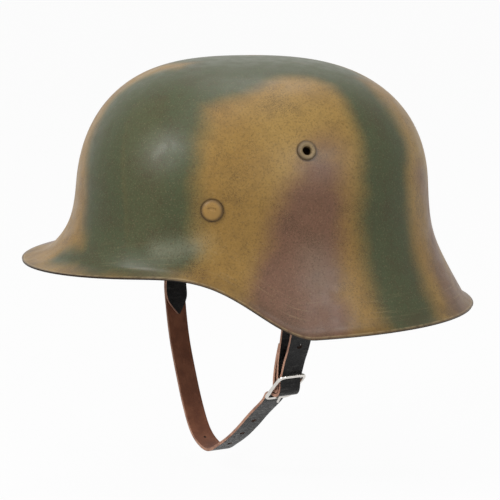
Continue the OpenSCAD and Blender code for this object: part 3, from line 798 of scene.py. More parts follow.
def chain(points: Sequence[tuple[float, float, float]], radii: Sequence[float], softness: float = 10,
          strength: float = 1.0) -> list[Stroke]:
    """Joins points into a run of strokes.

    Args:
        points: Points of the run, in millimetres from the part's origin.
        radii: Radius of each stroke in millimetres, one fewer than the points.
        softness: Half width of the soft edge in millimetres.
        strength: Cover of the paint, from 0 to 1.

    Returns:
        The strokes.
    """
    spots = [(x * MM, y * MM, z * MM) for x, y, z in points]
    return [Stroke(a, b, r * MM, softness * MM, strength) for a, b, r in zip(spots, spots[1:], radii)]


Ring = tuple[float, float, float]
PIN_PLACES = ((72.0, 82.3), (-72.0, 82.3), (180.0, 82.3))
VENT_PLACES = ((108.2, 118.2), (-108.2, 118.2))


def ring_of(places: Sequence[tuple[float, float]], radius: float) -> tuple[Ring, ...]:
    """Turn, height and radius of the dirt round heads at these places."""
    return tuple((turn, level, radius) for turn, level in places)


GREEN_STROKES: tuple[Stroke, ...] = tuple(
    chain([(-60, -28, 80), (-81, -27, 67), (-94, -40, 48), (-98, -52, 22), (-98, -57, -2), (-97, -64, -20)],
          [22, 23, 26, 27, 25])
    + chain([(-67, -57, 65), (-70, -73, 42), (-69, -81, 11), (-70, -84, -17)], [28, 28, 28], 14, 0.97)
    + chain([(-47, -57, 75), (-50, -75, 58), (-54, -84, 37), (-56, -89, 12), (-55, -91, -16)],
            [18, 15, 13, 15])
    + chain([(-125, -32, -35), (-106, -56, -29), (-88, -74, -27), (-70, -85, -24), (-50, -93, -21)],
            [9, 13, 14, 13], 8)
    + chain([(-61, -38, 78), (-34, -54, 80), (-8, -45, 87), (15, -32, 90), (42, -31, 87), (62, -37, 81)],
            [19, 22, 19, 19, 19])
    + chain([(-47, -32, 85), (-23, -30, 89), (4, -6, 91), (38, 2, 90), (60, -18, 85)], [16, 24, 26, 22])
    + chain([(62, -37, 82), (76, -56, 65), (84, -69, 43), (85, -77, 19), (85, -79, -4), (87, -81, -27),
             (92, -85, -49), (99, -89, -69)], [19, 20, 21, 22, 23, 23, 22])
    + chain([(-16, 12, 91), (-46, 50, 74), (-62, 76, 36), (-64, 86, -6)], [26, 24, 22])
    + chain([(35, 10, 90), (50, 62, 70), (60, 84, 30), (58, 92, -20), (52, 104, -66)], [24, 22, 21, 24])
    + chain([(124, 46, -20), (140, 40, -66)], [20])
)

BROWN_STROKES: tuple[Stroke, ...] = tuple(
    chain([(43, -89, 41), (36, -95, 24)], [13], 12, 0.6)
    + chain([(40, -94, 26), (35, -97, 8)], [16], 12, 0.92)
    + chain([(35, -97, 8), (29, -99, -14), (25, -103, -39)], [22, 26], 12, 0.96)
    + chain([(23, -103, -39), (19, -110, -62), (30, -112, -70)], [30, 28], 10, 0.96)
    + chain([(113, -45, 17), (121, -29, -9), (124, -33, -28), (128, -46, -50), (136, -50, -66)],
            [8, 10, 12, 15], 11, 0.8)
    + chain([(136, -34, -62), (149, 0, -70)], [15], 12, 0.7)
    + chain([(-95, 30, 52), (-104, 30, 10), (-112, 50, -30)], [17, 20], 10, 0.9)
    + chain([(0, 90, 44), (-4, 98, 4), (-10, 104, -40)], [14, 22], 10, 0.9)
    + chain([(104, 56, 36), (106, 62, -10), (110, 72, -60)], [14, 18], 10, 0.8)
)

# Painted sheen: pale patches where the lamps' highlight falls on the lower green flare and on the brown
# skirt.
PAINTED_SHEEN_STROKES: tuple[Stroke, ...] = tuple(
    chain([(-64, -89, -19), (-40, -94, -16)], [4.5], 10, 0.42)
    + chain([(34, -103, -26), (38, -106, -40)], [10], 14, 0.14)
)


@dataclass(frozen=True)
class SprayedPaint(Finish):
    """Three sprayed paints over each other, sanded and weathered, with painted sheen and painted shade."""

    ochre: Colour = srgb(135, 104, 51)
    ochre_pale: Colour = srgb(146, 117, 63)
    green: Colour = srgb(64, 71, 45)
    brown: Colour = srgb(103, 72, 56)
    dark: Colour = srgb(60, 43, 24)
    edge: Colour = srgb(160, 140, 104)
    # Colour of the painted sheen patches.
    painted_sheen: Colour = srgb(146, 146, 128)
    # Darker rings round the rivet heads and vent bushings: painted shadow of the heads, with some dirt.
    fixings: tuple[Ring, ...] = (*ring_of(PIN_PLACES, 7.1), *ring_of(VENT_PLACES, 6.4))
    gloss: float = 0.36
    gloss_spread: float = 0.08
    shine: float = 0.26
    drift: Wander = Wander(22.0, 2.0, 0.016)
    droplets: Wander = Wander(900.0, 1.0, 0.006)
    fade: Mottle = Mottle(14.0, 0.35, 0.68, detail=3.0)
    ring_shadow_and_dirt: float = 0.75
    ring_width: float = 1.3
    # Pale worn paint along the raw edge, which also serves as a painted highlight line on the edge.
    worn_and_highlight: Mottle = Mottle(260.0, 0.35, 0.6, 0.1, 0.45)
    worn_and_highlight_from_edge: tuple[float, float] = (0.0024, 0.0014)
    grime: Mottle = Mottle(70.0, 0.35, 0.7, 0.12, 0.5, detail=3.0)
    grime_from_edge: tuple[float, float] = (0.016, 0.0015)
    # Dark line right at the raw edge: painted shade of the edge.
    rim_shade_line: tuple[float, float, float, float] = (0.0014, 0.0008, 0.0, 0.7)
    clouds: Mottle = Mottle(130.0, 0.44, 0.7, strong=0.17, detail=4.0, rough=0.6)
    grain: Mottle = Mottle(760.0, 0.47, 0.68, strong=0.42, detail=3.0, rough=0.7)
    pale: Mottle = Mottle(980.0, 0.55, 0.72, strong=0.16, rough=0.6)
    speck_cover: float = 0.6
    pits: Relief = Relief(0.00005, 0.4)
    rub_stretch: tuple[float, float, float] = (26.0, 520.0, 1.0)
    rub_lines: tuple[float, float, float, float] = (0.54, 0.74, 0.0, 0.18)
    rub_low: tuple[float, float] = (0.004, 0.010)
    rub_high: tuple[float, float] = (0.034, 0.016)

    def dress(self, g: Graph, shader: bpy.types.Node) -> None:
        """Lays ochre, green and red-brown over each other, weathers them and adds painted sheen and painted
        shade.

        Args:
            g: Graph of the material.
            shader: Its Principled node.
        """
        at = g.position()
        spray = g.vmath("ADD", g.vmath("ADD", at, g.wander(at, self.drift)), g.wander(at, self.droplets))
        base = g.blend(g.mottle(at, self.fade), self.ochre, self.ochre_pale)
        base = g.blend(self.cover(g, spray, GREEN_STROKES), base, self.green)
        base = g.blend(self.cover(g, spray, BROWN_STROKES), base, self.brown)
        # Painted sheen patches over the paint.
        base = g.blend(self.cover(g, spray, PAINTED_SHEEN_STROKES), base, self.painted_sheen)
        layout = g.node("ShaderNodeUVMap", uv_map="layout").outputs[0]
        flat = g.node("ShaderNodeSeparateXYZ", {0: layout}).outputs[1]
        base = self.rub(g, layout, flat, self.weather(g, at, base))
        # Painted shadow round each rivet head and vent bushing, with some dirt.
        for turn, level, radius in self.fixings:
            away = g.vmath("DISTANCE", at, tuple(FORM.point(turn, level)), "Value")
            near = g.span(away, (radius + self.ring_width) * MM, radius * MM)
            base = g.blend(g.math("MULTIPLY", near, self.ring_shadow_and_dirt), base, self.dark)
        grime = g.math("MULTIPLY", g.span(flat, *self.grime_from_edge), g.mottle(at, self.grime))
        base = g.blend(grime, base, self.dark)
        # Worn paint along the edge, which is also a painted highlight line.
        worn_and_highlight = g.math("MULTIPLY", g.span(flat, *self.worn_and_highlight_from_edge), g.mottle(at, self.worn_and_highlight))
        base = g.blend(worn_and_highlight, base, self.edge)
        # Painted shade: a dark line along the raw edge.
        base = g.blend(g.span(flat, *self.rim_shade_line), base, self.dark)
        pits = g.group(Effects.speckle(), {"Position": at, "Scale": 1700.0, "Amount": 0.85, "Clusters": 18.0})
        rough = Mottle(120.0, 0.3, 0.7, self.gloss, self.gloss + self.gloss_spread, detail=3.0)
        self.link(g, shader, Base_Color=base, Roughness=g.mottle(at, rough), Specular_IOR_Level=self.shine,
                  Normal=g.bump(pits.outputs["Height"], self.pits))

    def weather(self, g: Graph, at: Socket, base: Socket) -> Socket:
        """Adds cloudy dirt, fine grain and dark specks.

        Args:
            g: Graph of the material.
            at: Position on the shell.
            base: Colour so far.

        Returns:
            The weathered colour.
        """
        base = g.blend(g.mottle(at, self.clouds), base, self.dark)
        base = g.blend(g.mottle(at, self.grain), base, self.dark)
        base = g.blend(g.mottle(at, self.pale), base, self.edge)
        values = {"Position": at, "Scale": 1650.0, "Amount": 0.85, "Clusters": 44.0}
        specks = g.group(Effects.speckle(), values)
        return g.blend(g.math("MULTIPLY", specks.outputs["Mask"], self.speck_cover), base, self.dark)

    def rub(self, g: Graph, layout: Socket, flat: Socket,
            base: Socket) -> Socket:
        """Adds pale rub marks that follow the raw edge.

        Args:
            g: Graph of the material.
            layout: Turn and distance from the edge.
            flat: Distance from the edge.
            base: Colour so far.

        Returns:
            The colour with the marks.
        """
        lines = g.noise(g.vmath("MULTIPLY", layout, self.rub_stretch), 1.0, 3.0, 0.55)
        where = g.math("MULTIPLY", g.span(flat, *self.rub_low), g.span(flat, *self.rub_high))
        return g.blend(g.math("MULTIPLY", g.span(lines, *self.rub_lines), where), base, self.edge)

    @staticmethod
    def cover(g: Graph, spray: Socket, strokes: Sequence[Stroke]) -> Socket:
        """Joins the masks of many strokes.

        Args:
            g: Graph of the material.
            spray: Position with the drift of the spray.
            strokes: Strokes of one paint.

        Returns:
            The joined mask.
        """
        whole: Socket | float = 0.0
        for s in strokes:
            values = {"Under": whole, "Position": spray, "Start": s.start, "End": s.end,
                      "Radius": s.radius, "Softness": s.softness, "Strength": s.strength}
            whole = g.group(Effects.stroke(), values).outputs[0]
        return whole


@dataclass(frozen=True)
class PlainPaint(Finish):
    """One matt paint with specks, wear and a fine cast surface."""

    colour: Colour = srgb(146, 114, 62)
    dark: Colour = srgb(60, 46, 32)
    specks: float = 0.7
    speck_cover: float = 0.5
    shine: float = 0.3
    # Round heads whose rim gets painted shade, with some dirt.
    heads: tuple[Ring, ...] = ()
    head_shade_and_dirt: float = 0.8
    shade_and_dirt_inner: float = 2.2
    shade_and_dirt_outer: tuple[float, float] = (2.0, 1.0)
    stain: Mottle = Mottle(60.0, 0.35, 0.7, strong=0.35, detail=3.0)
    stain_shade: float = 0.6
    pits: Relief = Relief(0.0001, 0.6)
    gloss: Mottle = Mottle(300.0, 0.3, 0.7, 0.42, 0.6)

    def dress(self, g: Graph, shader: bpy.types.Node) -> None:
        """Lays the paint with its stains and specks, and darkens the rim of round heads with painted shade
        and some dirt.

        Args:
            g: Graph of the material.
            shader: Its Principled node.
        """
        at = g.position()
        stained = tuple(self.stain_shade * c for c in self.colour)
        base = g.blend(g.mottle(at, self.stain), self.colour, stained)
        values = {"Position": at, "Scale": 1300.0, "Amount": self.specks, "Clusters": 90.0}
        marks = g.group(Effects.speckle(), values)
        base = g.blend(g.math("MULTIPLY", marks.outputs["Mask"], self.speck_cover), base, self.dark)
        # Painted shade round the rim of each round head, where a dome's edge falls into shade, with some
        # dirt.
        for turn, level, radius in self.heads:
            away = g.vmath("DISTANCE", at, tuple(FORM.point(turn, level)), "Value")
            inner = g.span(away, (radius - self.shade_and_dirt_inner) * MM, radius * MM, 0.0, self.head_shade_and_dirt)
            outer = g.span(away, *((radius + more) * MM for more in self.shade_and_dirt_outer))
            base = g.blend(g.math("MULTIPLY", inner, outer), base, self.dark)
        self.link(g, shader, Base_Color=base, Roughness=g.mottle(at, self.gloss),
                  Specular_IOR_Level=self.shine, Normal=g.bump(marks.outputs["Height"], self.pits))


@dataclass(frozen=True)
class WornMetal(Finish):
    """Bare or plated steel with scratches and a little dirt."""

    colour: Colour = srgb(196, 194, 190)
    dirt: Colour = srgb(84, 74, 60)
    polish: float = 0.2
    polish_spread: float = 0.16
    soil: float = 0.3
    stain: Mottle = Mottle(240.0, 0.45, 0.75, detail=4.0, rough=0.6)
    lines: tuple[float, float, float] = (300.0, 2500.0, 300.0)
    line_dirt: float = 0.35
    groove: Relief = Relief(0.00005, 0.5)
    soil_dulls: float = 0.5
    soil_hides: float = 0.7

    def dress(self, g: Graph, shader: bpy.types.Node) -> None:
        """Scratches the metal and soils it.

        Args:
            g: Graph of the material.
            shader: Its Principled node.
        """
        at = g.position()
        soil = g.math("MULTIPLY", g.mottle(at, self.stain), self.soil)
        values = {"Position": at, "Stretch": self.lines, "Amount": 0.8}
        marks = g.group(Effects.scratches(), values).outputs[0]
        base = g.blend(soil, self.colour, self.dirt)
        base = g.blend(g.math("MULTIPLY", marks, self.line_dirt), base, self.dirt)
        gloss = g.mottle(at, Mottle(700.0, 0.3, 0.7, self.polish, self.polish + self.polish_spread))
        rough = g.math("ADD", g.math("MULTIPLY", soil, self.soil_dulls), gloss)
        metal = g.math("SUBTRACT", 1.0, g.math("MULTIPLY", soil, self.soil_hides))
        self.link(g, shader, Base_Color=base, Metallic=metal, Roughness=rough,
                  Normal=g.bump(marks, self.groove))


@dataclass(frozen=True)
class GrainLeather(Finish):
    """Finished face of the leather, with grain, creases, scuffs and painted sheen on the cross folds."""

    colour: Colour = srgb(17, 16, 16)
    crease: Colour = srgb(7, 7, 7)
    # Pale colour of the scuffs and of the painted sheen lines on the cross folds.
    scuff_and_sheen: Colour = srgb(112, 110, 106)
    scale: float = 1100.0
    gloss: float = 0.30
    scuffs: float = 0.10
    folds: float = 1.0
    shine: float = 0.18
    gloss_spread: float = 0.14
    flexed: tuple[float, float] = (-0.112, -0.132)
    flat_folds: float = 0.22
    fold_stretch: tuple[float, float, float] = (460.0, 95.0, 0.0)
    fold_range: tuple[float, float] = (0.5, 0.66)
    fold_sheen_cover: float = 0.55
    crease_cover: float = 0.7
    grain_share: float = 0.5
    wear_dulls: float = 0.6
    relief: Relief = Relief(0.0003, 0.9)
    scuffed: Mottle = Mottle(170.0, 0.5, 0.72, detail=4.0, rough=0.65)

    def dress(self, g: Graph, shader: bpy.types.Node) -> None:
        """Lays the grain, the cross creases, the scuffs and pale painted sheen lines along the cross folds.

        Args:
            g: Graph of the material.
            shader: Its Principled node.
        """
        at = g.position()
        flat = g.node("ShaderNodeUVMap", uv_map="layout").outputs[0]
        grain = g.group(Effects.grain(), {"Position": at, "Scale": self.scale})
        cross = g.noise(g.vmath("MULTIPLY", flat, self.fold_stretch), 1.0, 3.0, 0.6)
        level = g.node("ShaderNodeSeparateXYZ", {0: at}).outputs[2]
        bent = g.span(level, *self.flexed, self.flat_folds, 1.0)
        fold = g.math("MULTIPLY", g.span(cross, *self.fold_range), bent)
        creases = g.math("MULTIPLY", grain.outputs["Creases"], self.crease_cover)
        base = g.blend(creases, self.colour, self.crease)
        wear = g.math("MULTIPLY", g.mottle(at, self.scuffed), self.scuffs)
        # Scuffs plus painted sheen: pale lines along the cross folds, strongest low on the strap.
        pale = g.math("ADD", wear, g.math("MULTIPLY", fold, self.fold_sheen_cover), clamped=True)
        base = g.blend(pale, base, self.scuff_and_sheen)
        cells = g.math("MULTIPLY", grain.outputs["Height"], self.grain_share)
        height = g.math("ADD", cells, g.math("MULTIPLY", fold, self.folds))
        gloss = g.mottle(at, Mottle(500.0, 0.3, 0.7, self.gloss, self.gloss + self.gloss_spread))
        rough = g.math("ADD", g.math("MULTIPLY", wear, self.wear_dulls), gloss)
        self.link(g, shader, Base_Color=base, Roughness=rough, Specular_IOR_Level=self.shine,
                  Normal=g.bump(height, self.relief))


@dataclass(frozen=True)
class FleshLeather(Finish):
    """Rough back or cut edge of the leather, with short fibres."""

    colour: Colour = srgb(134, 84, 56)
    dark: Colour = srgb(86, 50, 32)
    pale: Colour = srgb(176, 126, 92)
    fibre: tuple[float, float] = (500.0, 900.0)
    nap: float = 0.55
    stain: Mottle = Mottle(90.0, 0.35, 0.7, detail=3.0, rough=0.55)
    hole_line: float = 0.0
    hole_wall_shadow: tuple[float, float, float, float] = (0.0045, 0.0030, 0.0, 0.9)
    hole_shadow: float = 0.1
    fibre_range: tuple[float, float] = (0.52, 0.75)
    fuzz_scale: float = 2200.0
    fuzz_share: float = 0.5
    fuzz: Relief = Relief(0.0002, 0.7)

    def dress(self, g: Graph, shader: bpy.types.Node) -> None:
        """Lays the fibres over uneven stain, and paints shadow on the walls of holes that lie on a middle
        line.

        Args:
            g: Graph of the material.
            shader: Its Principled node.
        """
        at = g.position()
        flat = g.node("ShaderNodeUVMap", uv_map="layout").outputs[0]
        strands = g.noise(g.vmath("MULTIPLY", flat, (*self.fibre, 1.0)), 1.0, 4.0, 0.65)
        base = g.blend(g.mottle(at, self.stain), self.colour, self.dark)
        base = g.blend(g.span(strands, *self.fibre_range, 0.0, self.nap), base, self.pale)
        # Painted shadow inside the holes: the cut walls near the middle line turn nearly black.
        if self.hole_line:
            side = g.node("ShaderNodeSeparateXYZ", {0: flat}).outputs[1]
            off = g.math("ABSOLUTE", g.math("SUBTRACT", side, self.hole_line))
            deep = tuple(self.hole_shadow * c for c in self.dark)
            base = g.blend(g.span(off, *self.hole_wall_shadow), base, deep)
        fuzz = g.math("ADD", strands, g.math("MULTIPLY", g.noise(at, self.fuzz_scale), self.fuzz_share))
        self.link(g, shader, Base_Color=base, Roughness=0.86, Normal=g.bump(fuzz, self.fuzz),
                  Specular_IOR_Level=0.25, Sheen_Weight=0.15, Sheen_Roughness=0.6)


@dataclass(frozen=True)
class Felt(Finish):
    """Pressed wool felt with flecks."""

    colour: Colour = srgb(96, 92, 86)
    fleck: Colour = srgb(150, 142, 128)
    tangle_scale: float = 300.0
    tangle: float = 0.004
    fibre_scale: float = 1500.0
    fleck_range: tuple[float, float, float, float] = (0.5, 0.72, 0.0, 0.8)
    relief: Relief = Relief(0.0004, 0.9)

    def dress(self, g: Graph, shader: bpy.types.Node) -> None:
        """Lays fibres and flecks.

        Args:
            g: Graph of the material.
            shader: Its Principled node.
        """
        at = g.position()
        tangle = g.scaled(g.noise(at, self.tangle_scale, 3.0, colour=True), self.tangle)
        fibres = g.noise(g.vmath("ADD", at, tangle), self.fibre_scale, 4.0, 0.7)
        base = g.blend(g.span(fibres, *self.fleck_range), self.colour, self.fleck)
        self.link(g, shader, Base_Color=base, Roughness=0.95, Normal=g.bump(fibres, self.relief),
                  Specular_IOR_Level=0.15, Sheen_Weight=0.3, Sheen_Roughness=0.5)


@dataclass(frozen=True)
class Braid(Finish):
    """Braided cord: two sets of strands that cross over the tube's layout."""

    colour: Colour = srgb(190, 174, 138)
    dark: Colour = srgb(96, 82, 58)
    pitch: float = 900.0
    strand_range: tuple[float, float] = (-0.4, 0.9)
    stain: Mottle = Mottle(400.0, 0.5, 0.75, strong=0.4, detail=3.0)
    relief: Relief = Relief(0.0003, 0.8)

    def dress(self, g: Graph, shader: bpy.types.Node) -> None:
        """Crosses two waves for the strands.

        Args:
            g: Graph of the material.
            shader: Its Principled node.
        """
        at = g.position()
        layout = g.node("ShaderNodeUVMap", uv_map="layout").outputs[0]
        split = g.node("ShaderNodeSeparateXYZ", {0: layout}).outputs
        run, around = g.math("MULTIPLY", split[0], self.pitch), g.math("MULTIPLY", split[1], 4 * math.pi)
        one = g.math("SINE", g.math("ADD", run, around))
        two = g.math("SINE", g.math("SUBTRACT", run, around))
        strands = g.span(g.math("MAXIMUM", one, two), *self.strand_range)
        base = g.blend(strands, self.dark, self.colour)
        base = g.blend(g.mottle(at, self.stain), base, self.dark)
        self.link(g, shader, Base_Color=base, Roughness=0.85, Normal=g.bump(strands, self.relief),
                  Specular_IOR_Level=0.2, Sheen_Weight=0.2, Sheen_Roughness=0.5)


@dataclass(frozen=True)
class PaleFloor(Finish):
    """Pale floor that shows white to the camera and still takes the shadow."""

    white: Colour = (0.62, 0.62, 0.62)
    cover: float = 0.96

    def dress(self, g: Graph, shader: bpy.types.Node) -> None:
        """Mixes the lit floor with white for direct views, and lets a view from below through.

        Args:
            g: Graph of the material.
            shader: Its Principled node.
        """
        self.link(g, shader, Base_Color=(*self.white, 1.0), Roughness=0.9, Specular_IOR_Level=0.1)
        glow = g.node("ShaderNodeEmission", {"Color": (1, 1, 1, 1), "Strength": 1.0})
        seen = g.math("MULTIPLY", g.seen_directly(), self.cover)
        mixed = g.node("ShaderNodeMixShader", {0: seen, 1: shader.outputs[0], 2: glow.outputs[0]})
        under = g.node("ShaderNodeNewGeometry").outputs["Backfacing"]
        clear = g.node("ShaderNodeBsdfTransparent")
        whole = g.node("ShaderNodeMixShader", {0: under, 1: mixed.outputs[0], 2: clear.outputs[0]})
        out = next(n for n in g.tree.nodes if n.type == "OUTPUT_MATERIAL")
        g.tree.links.new(whole.outputs[0], out.inputs[0])


class Finishes:
    """Every finish of the helmet by its use."""

    shell_outside = SprayedPaint("sprayed_three_colour")
    shell_inside = PlainPaint("inside_grey_green", colour=srgb(92, 96, 80), specks=0.5)
    # The raw edge is painted dark: painted shade of its down-facing rim.
    shell_edge_shaded = PlainPaint("raw_edge_painted_shade", colour=srgb(44, 36, 27), specks=0.9, shine=0.1)
    fittings = PlainPaint("ochre_fittings", colour=srgb(150, 116, 62), specks=0.8,
                          heads=ring_of(PIN_PLACES, 7.4))
    bushing = PlainPaint("worn_bushing", colour=srgb(136, 116, 84), specks=1.0,
                         heads=ring_of(VENT_PLACES, 6.6))
    liner_metal = WornMetal("zinc_bands", colour=srgb(150, 150, 146), polish=0.36, soil=0.5)
    spring_steel = WornMetal("spring_steel", colour=srgb(120, 124, 130), polish=0.26, soil=0.3)
    bail_steel = WornMetal("bail_steel", colour=srgb(140, 138, 134), polish=0.32, soil=0.45)
    nickel = WornMetal("bright_nickel", colour=srgb(214, 210, 204), polish=0.14, soil=0.16)
    strap_face = GrainLeather("strap_black_face")
    strap_back = FleshLeather("strap_brown_back", colour=srgb(140, 88, 62), dark=srgb(118, 70, 48),
                              pale=srgb(158, 106, 78), nap=0.3)
    strap_edge = FleshLeather("strap_cut_edge", colour=srgb(190, 143, 118), dark=srgb(146, 100, 80),
                              pale=srgb(216, 178, 154), hole_line=0.0075)
    liner_face = GrainLeather("liner_tan_face", colour=srgb(158, 110, 68), crease=srgb(104, 66, 38),
                              scuff_and_sheen=srgb(190, 150, 108), scale=700.0, gloss=0.44, scuffs=0.35,
                              folds=0.3, shine=0.4, flexed=(-0.2, -0.3))
    liner_back = FleshLeather("liner_back", colour=srgb(176, 136, 94), dark=srgb(132, 94, 60),
                              pale=srgb(204, 172, 132))
    thread = FleshLeather("linen_thread", colour=srgb(206, 192, 160), dark=srgb(150, 132, 100),
                          pale=srgb(226, 214, 186))
    felt = Felt("grey_felt")
    braid = Braid("braided_cord")
    floor = PaleFloor("pale_floor")


# Sub-assemblies


@dataclass
class SteelShell:
    """The pressed and sprayed shell."""

    columns: int = 340
    rows: int = 100
    vent_hole: float = 5.1
    edge_round: float = 0.32

    def build(self) -> bpy.types.Object:
        """Builds the shell with its vent holes and returns it."""
        sheet = Sheet("steel_shell", 1.0, 1.0, self.columns, self.rows, Wrap.ROUND)

        def place(u: float, v: float) -> Vector:
            """Point of the outer face."""
            return FORM.point(360 * u, FORM.height(360 * u, v))

        def layout(u: float, v: float) -> tuple[float, float]:
            """Turn, and distance from the raw edge."""
            return u, FORM.from_edge(360 * u, FORM.height(360 * u, v))

        sheet.lay(place, layout=layout)
        for turn, height in VENT_PLACES:
            open_hole(sheet.bm, FORM.point(turn, height), FORM.outward(turn, height), self.vent_hole * MM)
        face_outward(sheet.bm)
        obj = sheet.done([Finishes.shell_outside, Finishes.shell_inside, Finishes.shell_edge_shaded])
        thicken(obj, FORM.sheet * MM, -1.0, back=1, edge=2)
        round_edges(obj, self.edge_round * MM)
        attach(obj, "helmet")
        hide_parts("shell")
        return obj


@dataclass
class LinerRings:
    """The outer and inner steel bands and the felt between metal and leather."""

    columns: int = 288
    band_rows: int = 6
    felt_rows: int = 40
    edge_round: float = 0.15
    inner_inset: float = 2.0
    felt_square: float = 6.0
    felt_rough: tuple[float, float] = (0.12, 240.0)

    def band(self, name: str, node: str, depth: float, wall: float, low: float, high: float,
             ) -> bpy.types.Object:
        """Builds one steel band.

        Args:
            name: Name of the piece.
            node: CAD node that it stands for.
            depth: Depth of its outer face.
            wall: Thickness.
            low: Lower edge.
            high: Upper edge.

        Returns:
            The band.
        """
        sheet = Sheet(name, 1.0, 1.0, self.columns, self.band_rows, Wrap.ROUND)
        sheet.lay(lambda u, v: LINER.at(360 * u, depth, low + (high - low) * v))
        face_outward(sheet.bm)
        obj = sheet.done([Finishes.liner_metal])
        thicken(obj, wall * MM, -1.0)
        round_edges(obj, self.edge_round * MM)
        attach(obj, "helmet")
        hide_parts(node)
        return obj

    def felt(self) -> bpy.types.Object:
        """Builds the felt ring with soft corners and a slightly uneven face."""
        low, high = LINER.sweat_low + LINER.felt_inset, LINER.sweat_top - LINER.felt_inset
        mid, half, wall = (low + high) / 2, (high - low) / 2, LINER.felt_t / 2
        square, (rough, fine) = self.felt_square, self.felt_rough
        sheet = Sheet("felt_ring", 1.0, 1.0, self.columns, self.felt_rows, Wrap.TUBE)

        def place(u: float, v: float) -> Vector:
            """Point of the rounded section.

            Args:
                u: Share of the way round.
                v: Share of the way across.

            Returns:
                The point in metres.
            """
            a = 2 * math.pi * v
            flat = (abs(math.cos(a)) ** square + abs(math.sin(a)) ** square) ** (-1 / square)
            d = LINER.felt_d + wall - wall * flat * math.cos(a)
            p = LINER.at(360 * u, d, mid + half * flat * math.sin(a))
            return p - p.normalized() * rough * MM * (1 + noise.noise(p * fine))

        sheet.lay(place)
        bmesh.ops.recalc_face_normals(sheet.bm, faces=sheet.bm.faces)
        obj = sheet.done([Finishes.felt])
        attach(obj, "helmet")
        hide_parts("felt_strip")
        return obj

    def build(self) -> list[bpy.types.Object]:
        """Builds the three rings."""
        low, high = LINER.band_low + self.inner_inset, LINER.band_top - self.inner_inset
        return [
            self.band("outer_liner_band", "outer_band", 0.0, LINER.band_t, LINER.band_low, LINER.band_top),
            self.band("inner_liner_band", "inner_band", LINER.inner_d, LINER.inner_t, low, high),
            self.felt(),
        ]


